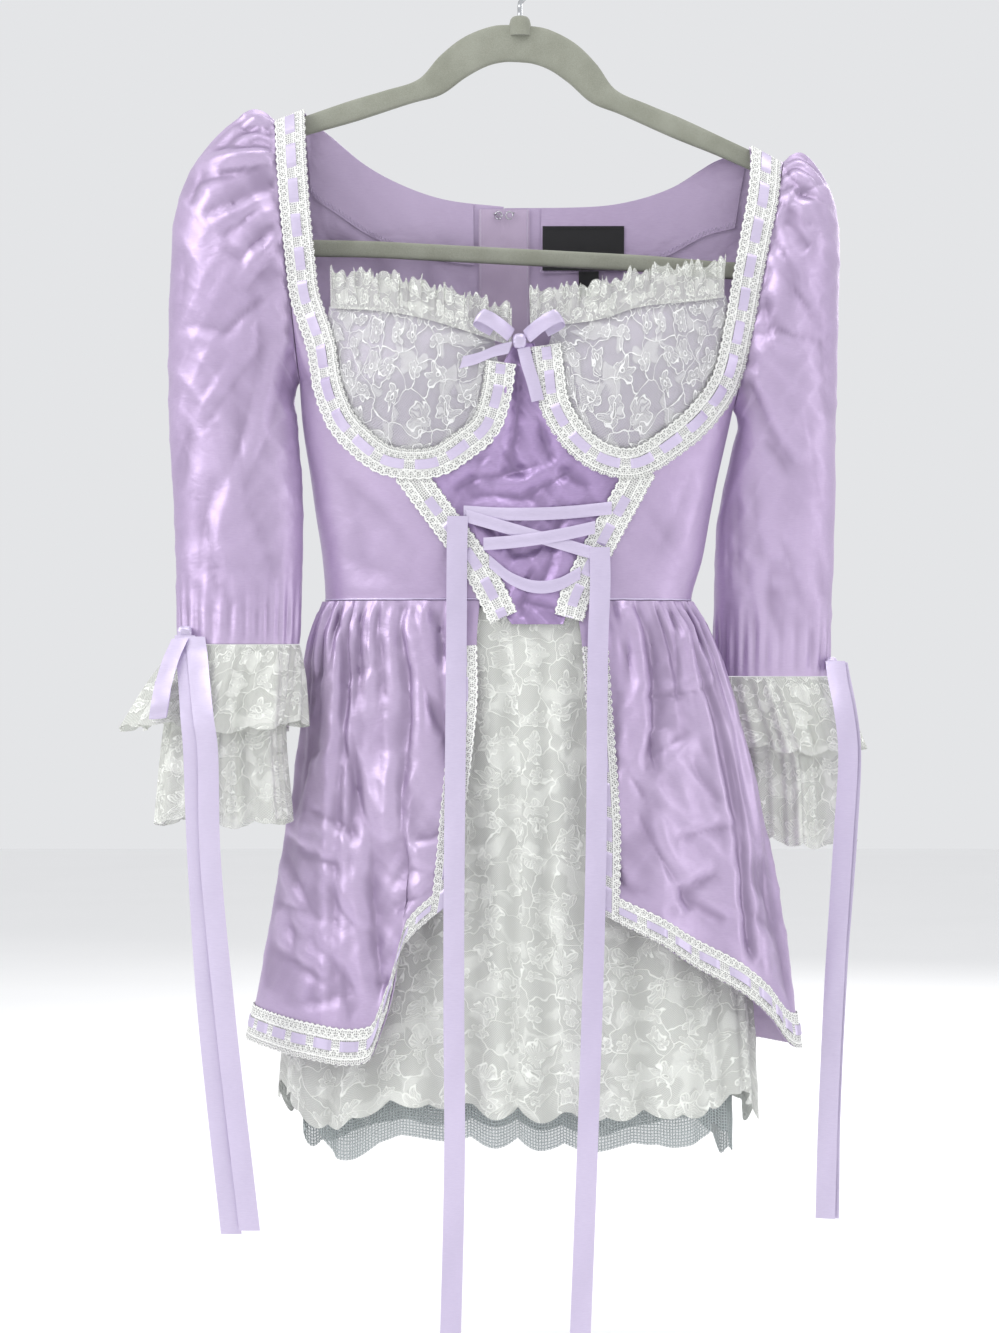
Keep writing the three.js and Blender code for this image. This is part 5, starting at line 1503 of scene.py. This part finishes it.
def turned(name, profile, centre, finish, segments=48):
    """A round piece spun about an upright line: its profile is radius and height."""
    bpy.ops.object.select_all(action="DESELECT")
    bpy.ops.mesh.primitive_cylinder_add(vertices=segments, radius=1, depth=2, end_fill_type="NGON")
    piece = bpy.context.object
    bpy.ops.object.mode_set(mode="EDIT")
    bpy.ops.mesh.select_all(action="SELECT")
    bpy.ops.mesh.delete(type="VERT")
    bpy.ops.object.mode_set(mode="OBJECT")
    turn = np.linspace(0, 2 * math.pi, segments, endpoint=False)
    spots, faces = [], []
    for radius, height in profile:
        spots += [(radius * math.cos(a), radius * math.sin(a), height) for a in turn]
    for row in range(len(profile) - 1):
        for i in range(segments):
            a, b = row * segments + i, row * segments + (i + 1) % segments
            faces.append((a, b, b + segments, a + segments))
    faces.append(tuple(range(segments))[::-1])
    last = (len(profile) - 1) * segments
    faces.append(tuple(range(last, last + segments)))
    mesh = piece.data
    mesh.from_pydata([tuple((np.array(p) + centre) * MM) for p in spots], [], faces)
    mesh.update()
    piece.name = mesh.name = name
    join_seam(piece, outwards=True)
    bpy.ops.object.shade_smooth_by_angle(angle=math.radians(40))
    dress_up(piece, finish)


def hanger_hook():
    """The plated wire hook with a rounded end, and the boss that it turns in."""
    radius = 18.8
    turns = np.radians([-52, -40, -30, -15] + list(range(0, 211, 10)))
    arc = [(radius * math.cos(a), 0, -17 + radius * math.sin(a)) for a in turns]
    stem = [(0, 0, -52.5), (0, 0, -49), (0, 0, -45), (0.6, 0, -41.5)]
    route = Line(stem + arc)
    wire = thread_curve("hook_wire", route.at(spread(120)), 1.78, "steel")
    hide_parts("hanger_hook")
    end = np.array(arc[-1])
    turned("hook_end", [(0.1, -2.6), (1.5, -2.3), (2.4, -1.2), (2.6, 0), (2.4, 1.2), (1.5, 2.3),
                        (0.1, 2.6)], end, "steel", segments=24)
    turned("hanger_boss", [(7.6, -66), (7.8, -58), (7.0, -54.5), (5.6, -52.6), (3.4, -51.9),
                           (2.1, -51.7)], np.zeros(3), "velvet")


def hook_and_eye():
    """The small wire hook and eye above the zip."""
    seat = back_point("left", BACK_SEAM_X, -192.0)[1] - 2.1 - 1 - 1.8
    turn = np.linspace(-0.4, 2 * math.pi - 0.9, 40)
    for name, shift, reach in (("top_eye", -4, 0), ("top_hook", 4, 1)):
        spots = np.stack([BACK_SEAM_X + shift + 2.6 * np.cos(turn),
                          seat + 0.3 * np.sin(turn * 2) - 0.4 * np.sin(turn),
                          -192 + 2.6 * np.sin(turn)], -1)
        legs = np.array([[BACK_SEAM_X + shift * 1.9, seat + 0.3, -191 + reach],
                         [BACK_SEAM_X + shift * 1.5, seat + 0.2, -190.6]])
        piece = thread_curve(f"{name}_wire", np.concatenate([legs, spots]), 0.45, "steel")
        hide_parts(name)


def smooth_metal(node):
    """A finish for a small solid whose shape is right."""
    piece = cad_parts[node]
    piece.data.materials.clear()
    piece.data.materials.append(FINISHES["steel"])


def back_seam():
    """The sewn seam below the zip, down the middle of the overskirt's back."""
    at = overskirt_point("left")
    v = spread(90, 0.004, 0.985)
    middle = at(np.ones(v.shape), v)
    outward = from_middle(middle)
    outward /= np.linalg.norm(outward, axis=-1, keepdims=True)
    thread_curve("back_skirt_seam", middle + [0.25, 0, 0] - outward * 0.75, 0.8, "satin")


def waist_piping():
    """The turned seam at the waist, with the ridge that it presses through."""
    for side in SIDES:
        inner = curve(FRONT_INNER[side]["z"], FRONT_INNER[side]["x"])(WAIST_Z)
        x = lerp(inner, outer_x(side, WAIST_Z), np.sin(spread(40) * math.pi / 2))
        points = front_side_point(side, x, np.full(x.shape, WAIST_Z + 0.8))
        thread_curve(f"waist_seam_{side}", points + [0, -0.25, 0], 0.55, "ribbon")


def ribbon_ends():
    """Free ribbons: the lacing's two ends and the sleeve ties."""
    front = ahead_of_front
    left = [front(-44, -414, 5.9), front(-44.5, -440, 5), (-45, -57, -490), (-45.5, -65.5, -560),
            (-46, -74, -620), (-46.5, -82, -690), (-46.5, -86, -760), (-46, -87.5, -861),
            (-49, -88, -990), (-50, -88, -1015)]
    right = [front(55, -436, 6.2), front(55.5, -460, 5.4), (54.5, -59, -500), (53.5, -67, -560),
             (53, -75, -620), (51.5, -83, -690), (49.5, -86, -760), (46, -87.5, -861),
             (41, -88, -990), (40, -88, -1015)]
    free_ribbon("lacing_ribbon_end_left", left, (1, 0, 0), "lacing_end_left", steps=260)
    free_ribbon("lacing_ribbon_end_right", right, (1, 0, 0), "lacing_end_right", steps=260)
    ties = {
        "left_a": [(-236, -56.2, -498), (-235, -60, -510), (-232, -73, -530), (-229, -87, -556),
                   (-227, -91, -575), (-224, -91, -650), (-217, -89, -760), (-201, -86, -914)],
        "left_b": [(-229, -58.2, -499), (-227, -62.6, -510), (-224, -76, -530), (-220, -90, -556),
                   (-217, -94, -575), (-215, -94.5, -650), (-205, -93, -760), (-188, -90, -911)],
        "right_a": [(230.4, 17.4, -517), (232.6, 14.3, -530), (236, 9, -550), (239, 6, -580),
                    (236, 5, -645), (229, 5, -740), (224, 5, -846), (223, 5, -918)],
        "right_b": [(228.5, 16.3, -516), (230.1, 12.6, -530), (233.5, 7, -550), (236.5, 4, -580),
                    (233, 3, -645), (227, 3, -740), (222, 3, -846), (220, 3, -918)],
    }
    for name, route in ties.items():
        across = (1, 0, 0) if name.startswith("left") else (0.95, -0.3, 0)
        free_ribbon(f"tie_ribbon_{name}", route, across, f"tie_tail_{name}", steps=220)


def laced_front():
    """Ribbon crossings on the front panel."""
    crossings = [(-40, -411, 64, -408, 3, 3.0), (-38, -414, 50, -440, 0, 4.4),
                 (-26, -434, 52, -422, 2, 5.8), (-22, -446, 42, -454, 14, 3.0)]
    for row, (x1, z1, x2, z2, sag, lift) in enumerate(crossings, 1):
        route = [ahead_of_front(lerp(x1, x2, t), lerp(z1, z2, t) - sag * 4 * t * (1 - t), lift)
                 for t in (0, 0.25, 0.5, 0.75, 1)]
        sewn_ribbon(f"lacing_ribbon_{row}", route, (0, 0, 1), f"lacing_{row}", 70, 9, 0.9)


def bow_and_knots():
    """The bow at the centre front, and the ties' knots and loop on the sleeves."""
    y = ahead_of_front(0, -290, 3.8)[1]
    wound_knot("bow_wound_knot", (-0.7, y, -291), (10, 7, 11), "bow_knot", 1.2)
    loops = {
        "left": [(-6.5, y - 1, -287), (-14, y - 8.5, -281.5), (-23, y - 13.5, -276),
                 (-29, y - 13.5, -274), (-31, y - 10, -276), (-27, y - 6.5, -279.5),
                 (-19, y - 4.5, -283.5)],
        "right": [(4.1, y - 1, -288), (12, y - 8.5, -282), (21, y - 13.5, -276.5),
                  (27, y - 13.5, -274.5), (29, y - 10, -276.5), (25, y - 6.5, -280),
                  (17, y - 4.5, -284)],
    }
    tails = {
        "left": [(-7.5, -296.3, 4.2), (-19, -299, 3.2), (-31, -304, 2.2), (-42, -307, 1.4)],
        "right": [(2, -296.4, 4), (5, -308, 3.8), (9, -320, 3.8), (12.5, -333, 3.8)],
    }
    across_tail = {"left": (0.3, 0, 0.95), "right": (0.95, 0, 0.2)}
    for side, sign in (("left", 1), ("right", -1)):
        sewn_ribbon(f"bow_ribbon_loop_{side}", loops[side], (0.5 * sign, 0, 0.85),
                    f"bow_loop_{side}", 60, 10, 0.8)
        route = [ahead_of_front(*spot) for spot in tails[side]]
        sewn_ribbon(f"bow_ribbon_tail_{side}", route, across_tail[side], f"bow_tail_{side}",
                    50, 9, 0.6)
    wound_knot("tie_wound_knot_left", (-236.6, -51.2, -497), (11, 8, 12), "tie_knot_left", 1.2)
    wound_knot("tie_wound_knot_right", (226.6, 23.2, -519), (9, 8, 12), "tie_knot_right", 1.4)
    loop = [(-239, -60.2, -500), (-245, -70, -516), (-249, -82, -534), (-251, -89, -548),
            (-252, -88, -556), (-252, -81, -555), (-251, -73, -544), (-250, -66, -530)]
    sewn_ribbon("tie_ribbon_loop_left", loop, (1, 0, 0.1), "tie_loop_left", 90, 12, 0.5)


# Camera and light.


def camera():
    data = bpy.data.cameras.new("studio_camera")
    holder = bpy.data.objects.new("studio_camera", data)
    bpy.context.collection.objects.link(holder)
    holder.location = (-0.0148, -SEEN_FROM, -0.520)
    holder.rotation_euler = (math.pi / 2, 0, 0)
    data.sensor_fit = "VERTICAL"
    data.sensor_height = 24
    data.lens = 24 * SEEN_FROM / SEEN_HEIGHT
    bpy.context.scene.camera = holder


def lamp(name, spot, size, power):
    """A soft panel light that looks at the dress."""
    data = bpy.data.lights.new(name, "AREA")
    data.shape = "RECTANGLE"
    data.size, data.size_y = size
    data.energy = power
    holder = bpy.data.objects.new(name, data)
    bpy.context.collection.objects.link(holder)
    holder.location = spot
    way = np.array([0, 0, -0.5]) - np.array(spot)
    holder.rotation_euler = (math.atan2(math.hypot(way[0], way[1]), -way[2]), 0,
                             math.atan2(way[1], way[0]) - math.pi / 2)


def studio():
    world = bpy.data.worlds.new("studio_air")
    bpy.context.scene.world = world
    world.use_nodes = True
    world.node_tree.nodes["Background"].inputs[0].default_value = (0.97, 0.98, 1.0, 1)
    world.node_tree.nodes["Background"].inputs[1].default_value = 0.80
    lamp("window_left", (-2.2, -1.3, 1.0), (1.8, 1.8), 36)
    lamp("window_high", (0.6, -0.8, 1.7), (2.0, 0.7), 16)
    lamp("fill_right", (2.2, -0.9, -0.2), (0.7, 1.8), 7)
    lamp("behind", (0.9, 2.4, 0.8), (1.8, 1.8), 30)
    bpy.ops.object.select_all(action="DESELECT")
    bpy.ops.mesh.primitive_plane_add(size=14, location=(0, 0, -1.035))
    floor = bpy.context.object
    floor.name = "pale_floor"
    r = Recipe("pale_floor")
    r.set(Base_Color=r.mix(r.noise(r.place("Object"), 3, 3), colour(246, 246, 246),
                           colour(250, 250, 250)), Roughness=0.8)
    floor.data.materials.append(r.material)
    bpy.context.scene.view_settings.view_transform = "Standard"


camera()
studio()
ribbon_ends()
hanger_frame()
hanger_hook()
for side in SIDES:
    back(side)
    side_front(side)
    cup(side)
    trim("neck", side, NECK_TRIM[side], f"neck_trim_{side}")
    trim("laced_edge", side, V_TRIM[side], f"front_trim_{side}", tucked=True)
    cup_frill(side)
    sleeve(side)
    cuff_tier(side, "lower")
    cuff_tier(side, "upper")
    overskirt(side)
front_panel()
skirt_layer("lace_underskirt", "lace", 360, 74, 0.4, 5, 34, 0.7)
skirt_layer("skirt_lining", "lining", 160, 30, 0.5)
skirt_layer("net_petticoat", "net", 200, 36, 0.4, 5, 9, 0.8)
laced_front()
bow_and_knots()
zip_guard()
hook_and_eye()
stitched_tag("neck_tag", 16.6, 76, -199, -231, "neck_label")
stitched_tag("size_tag", 43, 57.6, -231.4, -249, "size_label")
waist_piping()
back_seam()
smooth_metal("zip_slider")
smooth_metal("zip_pull")
